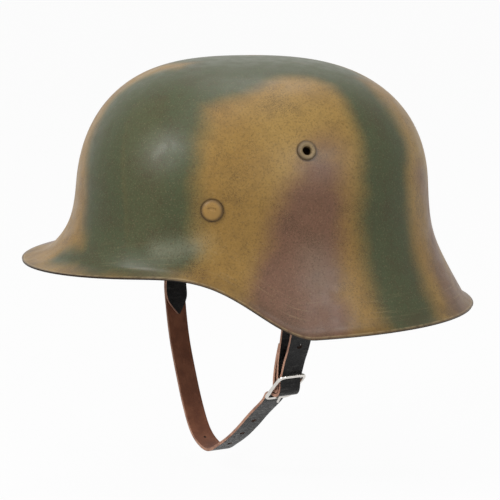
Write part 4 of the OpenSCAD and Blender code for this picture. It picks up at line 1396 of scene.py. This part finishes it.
@dataclass
class LeatherLiner:
    """Sweat band folded under the inner band, eight laced fingers and the seam that joins them."""

    around: float = 0.62
    columns: int = 360
    turn_r: float = 2.2
    lap: float = 0.6
    edge_round: float = 0.25
    wave: float = 0.35
    wave_from: float = 66.0
    waves: tuple[float, float] = (5.0, 0.08)
    fold_steps: int = 6
    upright_steps: int = 12
    finger_grid: tuple[int, int] = (44, 40)
    finger_size: tuple[float, float] = (0.085, 0.06)
    finger_wall: float = 1.3
    finger_lift: float = 0.8
    stitch: float = 4.2
    stitch_d: float = 0.7
    stitch_turn: float = 1.0
    stitch_gap: float = 0.05
    seam_reach: float = 90.0
    seam_heights: tuple[float, ...] = (81.5, 84.6)
    cord_hole: float = 2.5

    def sweat_band(self) -> bpy.types.Object:
        """Builds the band: a strip that runs down inside and turns up behind the felt."""
        wall, r = LINER.leather_t, self.turn_r
        d0, d1 = LINER.inner_d - self.lap + wall / 2, LINER.leather_d + wall / 2
        low = LINER.sweat_low + wall / 2
        arc = [math.pi / 2 * i / self.fold_steps for i in range(self.fold_steps + 1)]
        rise, steps = LINER.sweat_top - low - r, self.upright_steps
        path = [(d0, LINER.band_low), (d0, low + r)]
        path += [(d0 + r * (1 - math.cos(a)), low + r * (1 - math.sin(a))) for a in arc[1:]]
        path += [(d1 - r * (1 - math.sin(a)), low + r * (1 - math.cos(a))) for a in arc]
        path += [(d1, low + r + rise * i / steps) for i in range(1, steps + 1)]
        rows = len(path) - 1
        sheet = Sheet("sweat_band", self.around, float(rows), self.columns, rows, Wrap.ROUND)
        height = [0.0]
        for a, b in zip(path, path[1:]):
            height.append(height[-1] + math.dist(a, b) * MM)

        def place(u: float, v: float) -> Vector:
            """Point of the strip with gentle waves toward its top edge.

            Args:
                u: Length round the band.
                v: Number of the row.

            Returns:
                The point in metres.
            """
            d, z = path[int(round(v))]
            a = 2 * math.pi * u / self.around
            across, up = self.waves
            spot = Vector((math.cos(a) * across, math.sin(a) * across, z * up))
            wave = self.wave * noise.noise(spot)
            return LINER.at(math.degrees(a), d + (wave if z > self.wave_from else 0.0), z)

        sheet.lay(place, layout=lambda u, v: (u, height[int(round(v))]))
        obj = sheet.done([Finishes.liner_face, Finishes.liner_back, Finishes.liner_back])
        self.face_inward(obj)
        thicken(obj, wall * MM, 0.0, back=1, edge=2)
        round_edges(obj, self.edge_round * MM)
        return obj

    @staticmethod
    def face_inward(obj: bpy.types.Object) -> None:
        """Turns the faces of the upper strip toward the head.

        Args:
            obj: The sweat band.
        """
        bm = bmesh.new()
        bm.from_mesh(obj.data)
        middles = [(f.normal, f.calc_center_median()) for f in bm.faces]
        if sum(normal.dot(m) for normal, m in middles if m.z > 0) > 0:
            bmesh.ops.reverse_faces(bm, faces=bm.faces)
        bm.to_mesh(obj.data)
        bm.free()

    def fingers(self) -> bpy.types.Object:
        """Builds the eight fingers with their lacing holes."""
        whole = bmesh.new()
        step = 360 / LINER.fingers
        for k in range(LINER.fingers):
            mid = step * (k + 0.5)
            sheet = Sheet("finger", 1.0, 1.0, *self.finger_grid)

            def place(u: float, v: float, mid: float = mid, k: int = k) -> Vector:
                """Point of one finger, a little wavy at its free edges.

                Args:
                    u: Share of the way up.
                    v: Share of the way across.
                    mid: Turn of the finger's middle.
                    k: Number of the finger.

                Returns:
                    The point in metres.
                """
                side = 2 * v - 1
                p = LINER.finger(mid + LINER.finger_half(u) * side, u)
                lift = u * side ** 2 * (0.5 + 0.8 * noise.noise(Vector((k * 3.1, u * 3, v * 2))))
                return p - p.normalized() * lift * self.finger_lift * MM

            sheet.lay(place, layout=lambda u, v: (u * self.finger_size[0], v * self.finger_size[1]))
            for side in (-1, 1):
                hole = LINER.finger(mid + side * 90 / LINER.fingers, LINER.cord_v)
                open_hole(sheet.bm, hole, hole.normalized(), self.cord_hole * MM)
            below = Vector((0, 0, 0.08))
            if sum(f.normal.dot(f.calc_center_median() + below) for f in sheet.bm.faces) > 0:
                bmesh.ops.reverse_faces(sheet.bm, faces=sheet.bm.faces)
            part = bpy.data.meshes.new("finger")
            sheet.bm.to_mesh(part)
            sheet.bm.free()
            whole.from_mesh(part)
            bpy.data.meshes.remove(part)
        finishes = [Finishes.liner_face, Finishes.liner_back, Finishes.liner_back]
        obj = make_object("liner_fingers", whole, finishes)
        thicken(obj, self.finger_wall * MM, 0.0, back=1, edge=2)
        round_edges(obj, self.edge_round * MM)
        return obj

    def seams(self) -> bpy.types.Object:
        """Builds the two rows of stitches that hold the fingers to the band."""
        bm = bmesh.new()
        depth = LINER.leather_d + LINER.leather_t + self.stitch_gap
        thick = self.stitch_d / 2 * MM
        count = int(2 * math.pi * self.seam_reach / self.stitch)
        for z in self.seam_heights:
            for turn in (360 * i / count for i in range(count)):
                a, b = (LINER.at(turn + side, depth, z) for side in (-self.stitch_turn, self.stitch_turn))
                lie = (b - a).normalized().to_track_quat("Z", "Y").to_matrix().to_4x4()
                size = Matrix.Diagonal((thick, thick, (b - a).length / 2, 1))
                made = bmesh.ops.create_uvsphere(bm, u_segments=6, v_segments=4, radius=1.0)
                there = Matrix.Translation((a + b) / 2) @ lie @ size
                bmesh.ops.transform(bm, matrix=there, verts=made["verts"])
        bm.loops.layers.uv.new("layout")
        return make_object("liner_stitches", bm, [Finishes.thread])

    def build(self) -> list[bpy.types.Object]:
        """Builds the leather and its seam."""
        made = [self.sweat_band(), self.fingers(), self.seams()]
        for obj in made:
            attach(obj, "helmet")
            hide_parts("leather_liner")
        return made


@dataclass
class DrawCord:
    """Braided cord laced through the fingers, with its knot and two tails."""

    sides: int = 14
    loop_steps: int = 420
    loop_length: float = 0.36
    tail: float = 22.0
    tail_steps: int = 40
    knot_size: tuple[float, float, float] = (0.7, 0.85, 0.55)
    knot_length: float = 0.03
    knot_steps: int = 90
    knot_pull: float = 0.9
    tail_run: tuple[float, float, float] = (0.8, 9.0, 6.0)

    def tube(self, name: str, line: Callable[[float], Vector], length: float, steps: int,
             radius: float, closed: bool) -> bpy.types.Object:
        """Builds a tube along a line.

        Args:
            name: Name of the piece.
            line: Gives the middle line from 0 to 1.
            length: Length of the line in metres.
            steps: Rings along it.
            radius: Radius in metres.
            closed: Whether the line is a loop.

        Returns:
            The tube.
        """
        sheet = Sheet(name, length, 1.0, steps, self.sides, Wrap.TUBE)

        def place(u: float, v: float) -> Vector:
            """Point on the tube.

            Args:
                u: Length along the line.
                v: Share of the way round.

            Returns:
                The point in metres.
            """
            q = u / length
            step = 0.5 / steps
            ahead = line((q + step) % 1.0 if closed else min(1.0, q + step))
            behind = line((q - step) % 1.0 if closed else max(0.0, q - step))
            run = (ahead - behind).normalized()
            side = run.cross(Vector((0, 0, 1))).normalized()
            up = side.cross(run)
            small = radius * (1.0 if closed else 0.02 + 0.98 * clamp(min(q, 1 - q) * steps / 2) ** 0.5)
            a = 2 * math.pi * v
            return line(q % 1.0 if closed else q) + (side * math.cos(a) + up * math.sin(a)) * small

        sheet.lay(place)
        bmesh.ops.recalc_face_normals(sheet.bm, faces=sheet.bm.faces)
        return sheet.done([Finishes.braid])

    def build(self) -> list[bpy.types.Object]:
        """Builds the loop, the knot and the tails."""
        radius = LINER.cord_d / 2 * MM
        home = LINER.cord(0.0)
        loop = self.tube("cord_loop", lambda q: LINER.cord(360 * q), self.loop_length, self.loop_steps,
                         radius, True)

        def knot(q: float) -> Vector:
            """Trefoil of the overhand knot.

            Args:
                q: Share of the way along.

            Returns:
                The point in metres.
            """
            a = 2 * math.pi * q
            x, y = math.sin(a) + 2 * math.sin(2 * a), math.cos(a) - 2 * math.cos(2 * a)
            deep, wide, high = self.knot_size
            return home + Vector((-math.sin(3 * a) * deep, x * wide, y * high)) * MM

        tied = self.tube("cord_knot", knot, self.knot_length, self.knot_steps, radius * self.knot_pull, True)
        made = [loop, tied]
        for index, side in enumerate((-1, 1)):
            def line(q: float, side: int = side) -> Vector:
                """One tail, falling a little as it leaves the knot."""
                run, spread, fall = self.tail_run
                return home + Vector((self.tail * q * run, side * (1 + spread * q), -fall * q * q)) * MM

            made.append(self.tube(f"cord_tail_{index}", line, self.tail * MM, self.tail_steps, radius, False))
        for obj in made:
            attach(obj, "helmet")
            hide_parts("draw_cord")
        return made


Control = tuple[float, float, float, float, float]


@dataclass(frozen=True)
class StrapForm:
    """Sizes that both straps and the buckle share, as in the part's source."""

    width: float = 15.0
    thick: float = 2.0
    turn: float = 22.0
    depth: float = 104.0
    across: float = -4.0
    bail_x: float = 22.0
    bail_y: tuple[float, float] = (92.829, 92.473)
    bail_turn: float = 6.6
    bar_z: float = 50.2
    bail_wire: float = 2.6
    slide: float = 2.0
    gap: float = 0.3
    buckle: tuple[float, float] = (63.9, -42.0)
    buckle_tilt: float = 40.5
    buckle_wire: float = 2.4
    buckle_l: float = 27.4
    bar_steps: int = 8
    hook_steps: int = 6

    @property
    def ply(self) -> float:
        """Distance between the middles of two layers."""
        return self.thick + 0.35

    @property
    def loop_r(self) -> float:
        """Radius of the leather's middle round the buckle's bar."""
        return self.buckle_wire / 2 + self.gap + self.thick / 2

    def axes(self) -> tuple[Vector, Vector]:
        """Directions along and across the strap's plane."""
        a = math.radians(self.turn)
        return Vector((math.sin(a), -math.cos(a), 0)), Vector((math.cos(a), math.sin(a), 0))

    def world(self, c: Sequence[float]) -> Vector:
        """Point of a control in metres.

        Args:
            c: Place along the strap's plane, height and place across it.

        Returns:
            The point.
        """
        along, across = self.axes()
        p = along * c[0] + across * c[2]
        return row(p.x, p.y, c[1])

    def over_bar(self, side: int) -> list[Control]:
        """Controls of the turn over a bail's bar.

        Args:
            side: 1 for the left bail, -1 for the right one.

        Returns:
            The controls, in the order of the strap's way.
        """
        along, across = self.axes()
        b = math.radians(self.bail_turn)
        reach = self.bail_y[0] if side > 0 else self.bail_y[1]
        slid = Vector((math.cos(b), math.sin(b), 0)) * side * self.slide
        centre = Vector((self.bail_x, -reach, 0)) * side + slid
        r = self.bail_wire / 2 + self.gap + self.thick / 2
        out = Vector((math.sin(b), -math.cos(b), 0)) * side * r
        found: list[Control] = []
        for i in range(self.bar_steps + 1):
            a = math.pi * (1 - i / self.bar_steps)
            p, z = centre + out * math.cos(a), self.bar_z + r * math.sin(a)
            found.append((p.dot(along), z, p.dot(across), self.bail_turn, self.width))
        return found

    def at_buckle(self, down: float, out: float) -> Control:
        """Control at a distance down and outward from the buckle's middle bar.

        Args:
            down: Millimetres down the buckle's slope.
            out: Millimetres outward from the buckle.

        Returns:
            The control.
        """
        t = math.radians(self.buckle_tilt)
        x = self.buckle[0] - down * math.cos(t) + out * math.sin(t)
        z = self.buckle[1] - down * math.sin(t) - out * math.cos(t)
        return x, z, self.across, self.turn, self.width


@dataclass
class Route:
    """A strap's way through space."""

    form: StrapForm
    controls: list[Control]
    table: list[float] = field(default_factory=list)
    steps: int = 40

    def __post_init__(self) -> None:
        """Measures the length up to each small step."""
        last = self.form.world(self.at(0.0))
        total = 0.0
        self.table = [0.0]
        for i in range(1, self.steps * (len(self.controls) - 1) + 1):
            now = self.form.world(self.at(i / self.steps))
            total += (now - last).length
            self.table.append(total)
            last = now

    def at(self, f: float) -> Control:
        """Control at a fractional number, on a smooth curve through all of them.

        Args:
            f: Fractional number.

        Returns:
            The control.
        """
        n = len(self.controls)
        i = min(n - 2, int(f))
        t = f - i
        a, b = self.controls[max(0, i - 1)], self.controls[i]
        c, d = self.controls[i + 1], self.controls[min(n - 1, i + 2)]
        shares = (-t + 2 * t ** 2 - t ** 3, 2 - 5 * t ** 2 + 3 * t ** 3,
                  t + 4 * t ** 2 - 3 * t ** 3, t ** 3 - t ** 2)
        return tuple(0.5 * sum(share * v for share, v in zip(shares, four)) for four in zip(a, b, c, d))

    @property
    def length(self) -> float:
        """Whole length in metres."""
        return self.table[-1]

    def length_to(self, f: float) -> float:
        """Length up to a fractional control number.

        Args:
            f: Fractional number.

        Returns:
            The length in metres.
        """
        x = clamp(f * self.steps, 0, len(self.table) - 1.001)
        i = int(x)
        return self.table[i] + (self.table[i + 1] - self.table[i]) * (x - i)

    def number(self, length: float) -> float:
        """Fractional control number at a length.

        Args:
            length: Length in metres.

        Returns:
            The fractional number.
        """
        low, high = 0, len(self.table) - 1
        while high - low > 1:
            mid = (low + high) // 2
            if self.table[mid] <= length:
                low = mid
            else:
                high = mid
        part = (length - self.table[low]) / max(TINY, self.table[high] - self.table[low])
        return (low + clamp(part)) / self.steps

    def place(self, length: float, side: float) -> Vector:
        """Point at a length and a share of the width from -0.5 to 0.5.

        Args:
            length: Length in metres.
            side: Share of the width.

        Returns:
            The point in metres.
        """
        c = self.at(self.number(length))
        a = math.radians(c[3])
        return self.form.world(c) + Vector((math.cos(a), math.sin(a), 0)) * c[4] * side * MM


@dataclass
class ChinStrap:
    """The long strap with its holes and the short strap that carries the buckle."""

    form: StrapForm = field(default_factory=StrapForm)
    hole: float = 3.8
    lowest_hole: float = 2.2
    pull: float = 2.2
    slot_w: float = 3.6
    cell: float = 0.62
    edge_round: float = 0.35
    hole_steps: tuple[float, ...] = (3.6, 4.95, 6.1, 7.35, 8.5)
    prong_step: float = 2.49
    end_step: float = 1.3

    def long_route(self) -> tuple[Route, int, int, int]:
        """Route of the long strap, and where its bend, buckle run and free end begin."""
        f = self.form
        w, low, mid = f.width, -f.depth, f.across
        far = [(-97.2, 38, 10.5, 8, w), (-95, 20, 2.5, 13, w), (-91.6, 3, -3, 19, w), (-88, -15, mid, 23, w)]
        tongue = [(-84, -19.5, mid, 24, 1.2), (-86.4, -9, mid, 22, w * 0.97)]
        tongue += [(c[0] + f.ply, c[1] + 1, c[2], c[3], w) for c in reversed(far[:3])]
        bend = [(-82.6, -38, mid, 25, w), (-73.4, -61, mid, 25, w), (-64.6, -79.5, mid, 24, w),
                (-54.2, low + 9, mid, 23, w), (-42, low + 1.6, mid, 22, w), (-28.5, low + 0.4, mid, 22, w),
                (-13.5, low + 7.6, mid, 22, w), (0.5, -88.2, mid, 22, w), (14.5, -78.2, mid, 22, w),
                (28.5, -67.2, mid, 22, w)]
        pin, end = f.buckle_wire / 2, f.buckle_l / 2
        under, over = -(pin + 1.0 + f.thick / 2), pin + f.gap + f.thick + 0.4 + f.thick / 2
        run = [f.at_buckle(*p) for p in ((22, -2.2), (end, under), (8.2, -0.6), (4, over - 1.4), (0, over),
                                         (-4, over - 1.4), (-8.2, -0.6), (-end, under))]
        free = [(75.8, -22.5, mid, 21, w), (80.4, -14, mid, 20, w), (85, -5, -4.5, 19, w), (89, 5, -5, 17, w),
                (91, 11.5, -5.5, 16, w * 0.55)]
        start = tongue + f.over_bar(-1) + far
        first, second = len(start), len(start) + len(bend)
        return Route(f, start + bend + run + free), first, second, second + len(run)

    def short_route(self) -> tuple[Route, int]:
        """Route of the short strap, and where its fold round the buckle's bar begins."""
        f = self.form
        w = f.width
        near = [(95, 38, -11.5, 8, w), (87.5, 22, -9, 12, w), (78.5, 6, -6, 17, w), (71.6, -9, -4.3, 21, w),
                (67.8, -22, f.across, 22, w)]
        x, z = f.buckle
        turns = [-math.pi * i / f.hook_steps for i in range(f.hook_steps + 1)]
        hook = [(x + f.loop_r * math.cos(a), z + f.loop_r * math.sin(a), f.across, f.turn, w) for a in turns]
        start = [(84.9, 22, -9, 12, w * 0.8), (92.4, 38, -11.5, 8, w)] + f.over_bar(1) + near
        start += [(x + f.loop_r + 0.2, -33, f.across, f.turn, w)]
        end = [(x - 1.6, -33, f.across, f.turn, w), (65.3, -22, f.across, 22, w),
               (68.2, -12, -4.2, 21, w * 0.9)]
        return Route(f, start + hook + end), len(start)

    def strip(self, name: str, route: Route, holes: Sequence[tuple[float, float]],
              slot: Optional[tuple[float, float]], flip: bool) -> bpy.types.Object:
        """Builds one strap from a flat punched strip.

        Args:
            name: Name of the piece.
            route: Way through space.
            holes: Length and radius of each hole, in metres.
            slot: Lengths between which the middle is open.
            flip: Puts the finished face on the other side.

        Returns:
            The strap.
        """
        width = self.form.width * MM
        columns, rows = int(route.length / MM / self.cell), int(self.form.width / self.cell) // 2 * 2
        sheet = Sheet(name, route.length, width, columns, rows)
        for along, radius in holes:
            sheet.punch(along, width / 2, radius)
        if slot:
            half = self.slot_w / 2 * MM
            sheet.slot(slot[0], slot[1], width / 2 - half, width / 2 + half)
        sheet.lay(lambda u, v: route.place(u, v / width - 0.5), flip=flip)
        obj = sheet.done([Finishes.strap_face, Finishes.strap_back, Finishes.strap_edge])
        thicken(obj, self.form.thick * MM, 0.0, back=1, edge=2)
        round_edges(obj, self.edge_round * MM)
        return obj

    def build(self) -> list[bpy.types.Object]:
        """Builds both straps."""
        route, first, run, free = self.long_route()
        punch = self.hole / 2 * MM
        lowest, *others = (route.length_to(first + step) for step in self.hole_steps)
        holes = [(lowest, self.lowest_hole / 2 * MM)] + [(length, punch) for length in others]
        pulled = route.length_to(run + self.prong_step)
        holes += [(pulled + shift * MM, punch) for shift in (-self.pull / 2, 0.0, self.pull / 2)]
        holes += [(route.length_to(free + self.end_step), punch)]
        long = self.strip("long_strap", route, holes, None, True)
        short_way, fold = self.short_route()
        slot = (short_way.length_to(fold - 1 / 3), short_way.length_to(fold + self.form.hook_steps + 1 / 3))
        short = self.strip("short_strap", short_way, [], slot, False)
        for obj, node in ((long, "strap_long"), (short, "strap_short")):
            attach(obj, "strap")
            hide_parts(node)
        return [long, short]


@dataclass
class CarriedParts:
    """CAD pieces that are shown as they are, each with its finish."""

    finishes: dict[str, Finish] = field(default_factory=lambda: {
        "vent_bushing_left": Finishes.bushing, "vent_bushing_right": Finishes.bushing,
        "liner_rivets": Finishes.fittings, "rivet_washers": Finishes.liner_metal,
        "leaf_springs": Finishes.spring_steel, "spring_rivets": Finishes.liner_metal,
        "liner_pins": Finishes.liner_metal, "bail_bracket_left": Finishes.liner_metal,
        "bail_bracket_right": Finishes.liner_metal, "bracket_rivets": Finishes.liner_metal,
        "bail_left": Finishes.bail_steel, "bail_right": Finishes.bail_steel,
        "strap_rivets": Finishes.nickel, "buckle_frame": Finishes.nickel, "buckle_prong": Finishes.nickel,
    })

    def dress(self, nodes: dict[str, bpy.types.Object]) -> None:
        """Gives each carried piece its finish.

        Args:
            nodes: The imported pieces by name.
        """
        for name, finish in self.finishes.items():
            slots = nodes[name].material_slots
            for slot in slots:
                slot.material = finish.material()
            LOG.info("dressed %s with %s", name, finish.name)


# Stage


@dataclass(frozen=True)
class Lamp:
    """One soft square lamp: its place, its side in metres, its watts and what it points at."""

    name: str
    place: tuple[float, float, float]
    size: float
    watts: float
    aim: tuple[float, float, float] = (0.0, 0.0, 0.0)

    def hang(self) -> None:
        """Adds the lamp to the scene."""
        data = bpy.data.lights.new(self.name, "AREA")
        data.shape = "SQUARE"
        data.size = self.size
        data.energy = self.watts
        lamp = bpy.data.objects.new(self.name, data)
        look = (Vector(self.aim) - Vector(self.place)).to_track_quat("-Z", "Y").to_matrix().to_4x4()
        lamp.matrix_world = Matrix.Translation(self.place) @ look
        bpy.context.scene.collection.objects.link(lamp)


@dataclass
class Studio:
    """Floor, light and the camera at the photograph's viewing angle."""

    floor_z: float = -0.196
    azimuth: float = 7.2
    elevation: float = 8.933
    roll: float = -0.267
    distance: float = 2.030
    target: tuple[float, float, float] = (0.0, 0.0, 0.014)
    focus_px: float = 3046.8
    centre_px: tuple[float, float] = (241.97, 173.71)
    image_px: float = 500.0
    sensor: float = 36.0
    view_end: float = 60.0
    floor_size: tuple[float, float] = (8.0, 9.0)
    floor_middle: tuple[float, float] = (4.0, 4.0)
    floor_rows: int = 60
    backdrop_y: float = 2.2
    backdrop_turn: float = 1.0
    world_light: float = 0.18
    lamps: tuple[Lamp, ...] = (
        Lamp("overhead", (-0.25, -0.35, 1.80), 1.1, 9.0),
        Lamp("key_left", (-1.22, -0.80, 0.96), 0.5, 19.0),
        Lamp("key_right", (0.84, -1.41, 0.71), 0.45, 11.0),
        Lamp("top_back", (0.22, 0.64, 1.65), 0.8, 8.0),
        Lamp("camera_fill", (0.2, -2.6, 0.5), 1.4, 3.0, (0.0, 0.0, -0.05)),
    )

    def floor(self) -> bpy.types.Object:
        """Builds the floor and a curved backdrop in one sheet."""
        sheet = Sheet("studio_floor", *self.floor_size, 2, self.floor_rows)
        r = self.backdrop_turn

        def place(u: float, v: float) -> Vector:
            """Flat in front, turning up behind.

            Args:
                u: Place across.
                v: Place toward the back.

            Returns:
                The point in metres.
            """
            x, y = u - self.floor_middle[0], v - self.floor_middle[1]
            past = y - self.backdrop_y
            if past <= 0:
                return Vector((x, y, self.floor_z))
            a = min(past / r, math.pi / 2)
            rise = r * (1 - math.cos(a)) + max(0.0, past - r * math.pi / 2)
            return Vector((x, self.backdrop_y + r * math.sin(a), self.floor_z + rise))

        sheet.lay(place)
        obj = sheet.done([Finishes.floor])
        return obj

    def camera(self) -> None:
        """Places the camera."""
        a, e, r = (math.radians(x) for x in (self.azimuth, self.elevation, self.roll))
        back = Vector((-math.sin(a) * math.cos(e), -math.cos(a) * math.cos(e), math.sin(e)))
        side = Vector((math.cos(a), -math.sin(a), 0))
        up = back.cross(side)
        right = side * math.cos(r) + up * math.sin(r)
        top = up * math.cos(r) - side * math.sin(r)
        data = bpy.data.cameras.new("camera")
        data.sensor_width = self.sensor
        data.lens = self.focus_px * self.sensor / self.image_px
        data.shift_x = 0.5 - self.centre_px[0] / self.image_px
        data.shift_y = self.centre_px[1] / self.image_px - 0.5
        data.clip_end = self.view_end
        cam = bpy.data.objects.new("camera", data)
        turned = Matrix((right, top, back)).transposed().to_4x4()
        cam.matrix_world = Matrix.Translation(Vector(self.target) + back * self.distance) @ turned
        bpy.context.scene.collection.objects.link(cam)
        bpy.context.scene.camera = cam

    def lights(self) -> None:
        """Hangs the lamps and sets the world."""
        for lamp in self.lamps:
            lamp.hang()
        world = bpy.data.worlds.new("studio")
        bpy.context.scene.world = world
        world.use_nodes = True
        world.node_tree.nodes.clear()
        g = Graph(world.node_tree)
        strength = g.span(g.seen_directly(), 0.0, 1.0, self.world_light, 1.0)
        back = g.node("ShaderNodeBackground", {"Color": (1, 1, 1, 1), "Strength": strength})
        g.node("ShaderNodeOutputWorld", {0: back.outputs[0]})

    def build(self) -> None:
        """Sets up the whole stage."""
        self.camera()
        self.floor()
        self.lights()
        bpy.context.scene.view_settings.view_transform = "Standard"


def report(made: Sequence[bpy.types.Object]) -> None:
    """Logs each new piece with its size in faces."""
    for obj in made:
        LOG.info("built %s with %d faces", obj.name, len(obj.data.polygons))


def main() -> None:
    """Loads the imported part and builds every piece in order."""
    logging.basicConfig(level=logging.INFO, format="%(name)s: %(message)s")
    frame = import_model()
    Studio().build()
    report([SteelShell().build()])
    report(LinerRings().build())
    report(LeatherLiner().build())
    report(DrawCord().build())
    report(ChinStrap().build())
    CarriedParts().dress(frame["nodes"])


if __name__ == "__main__":
    main()
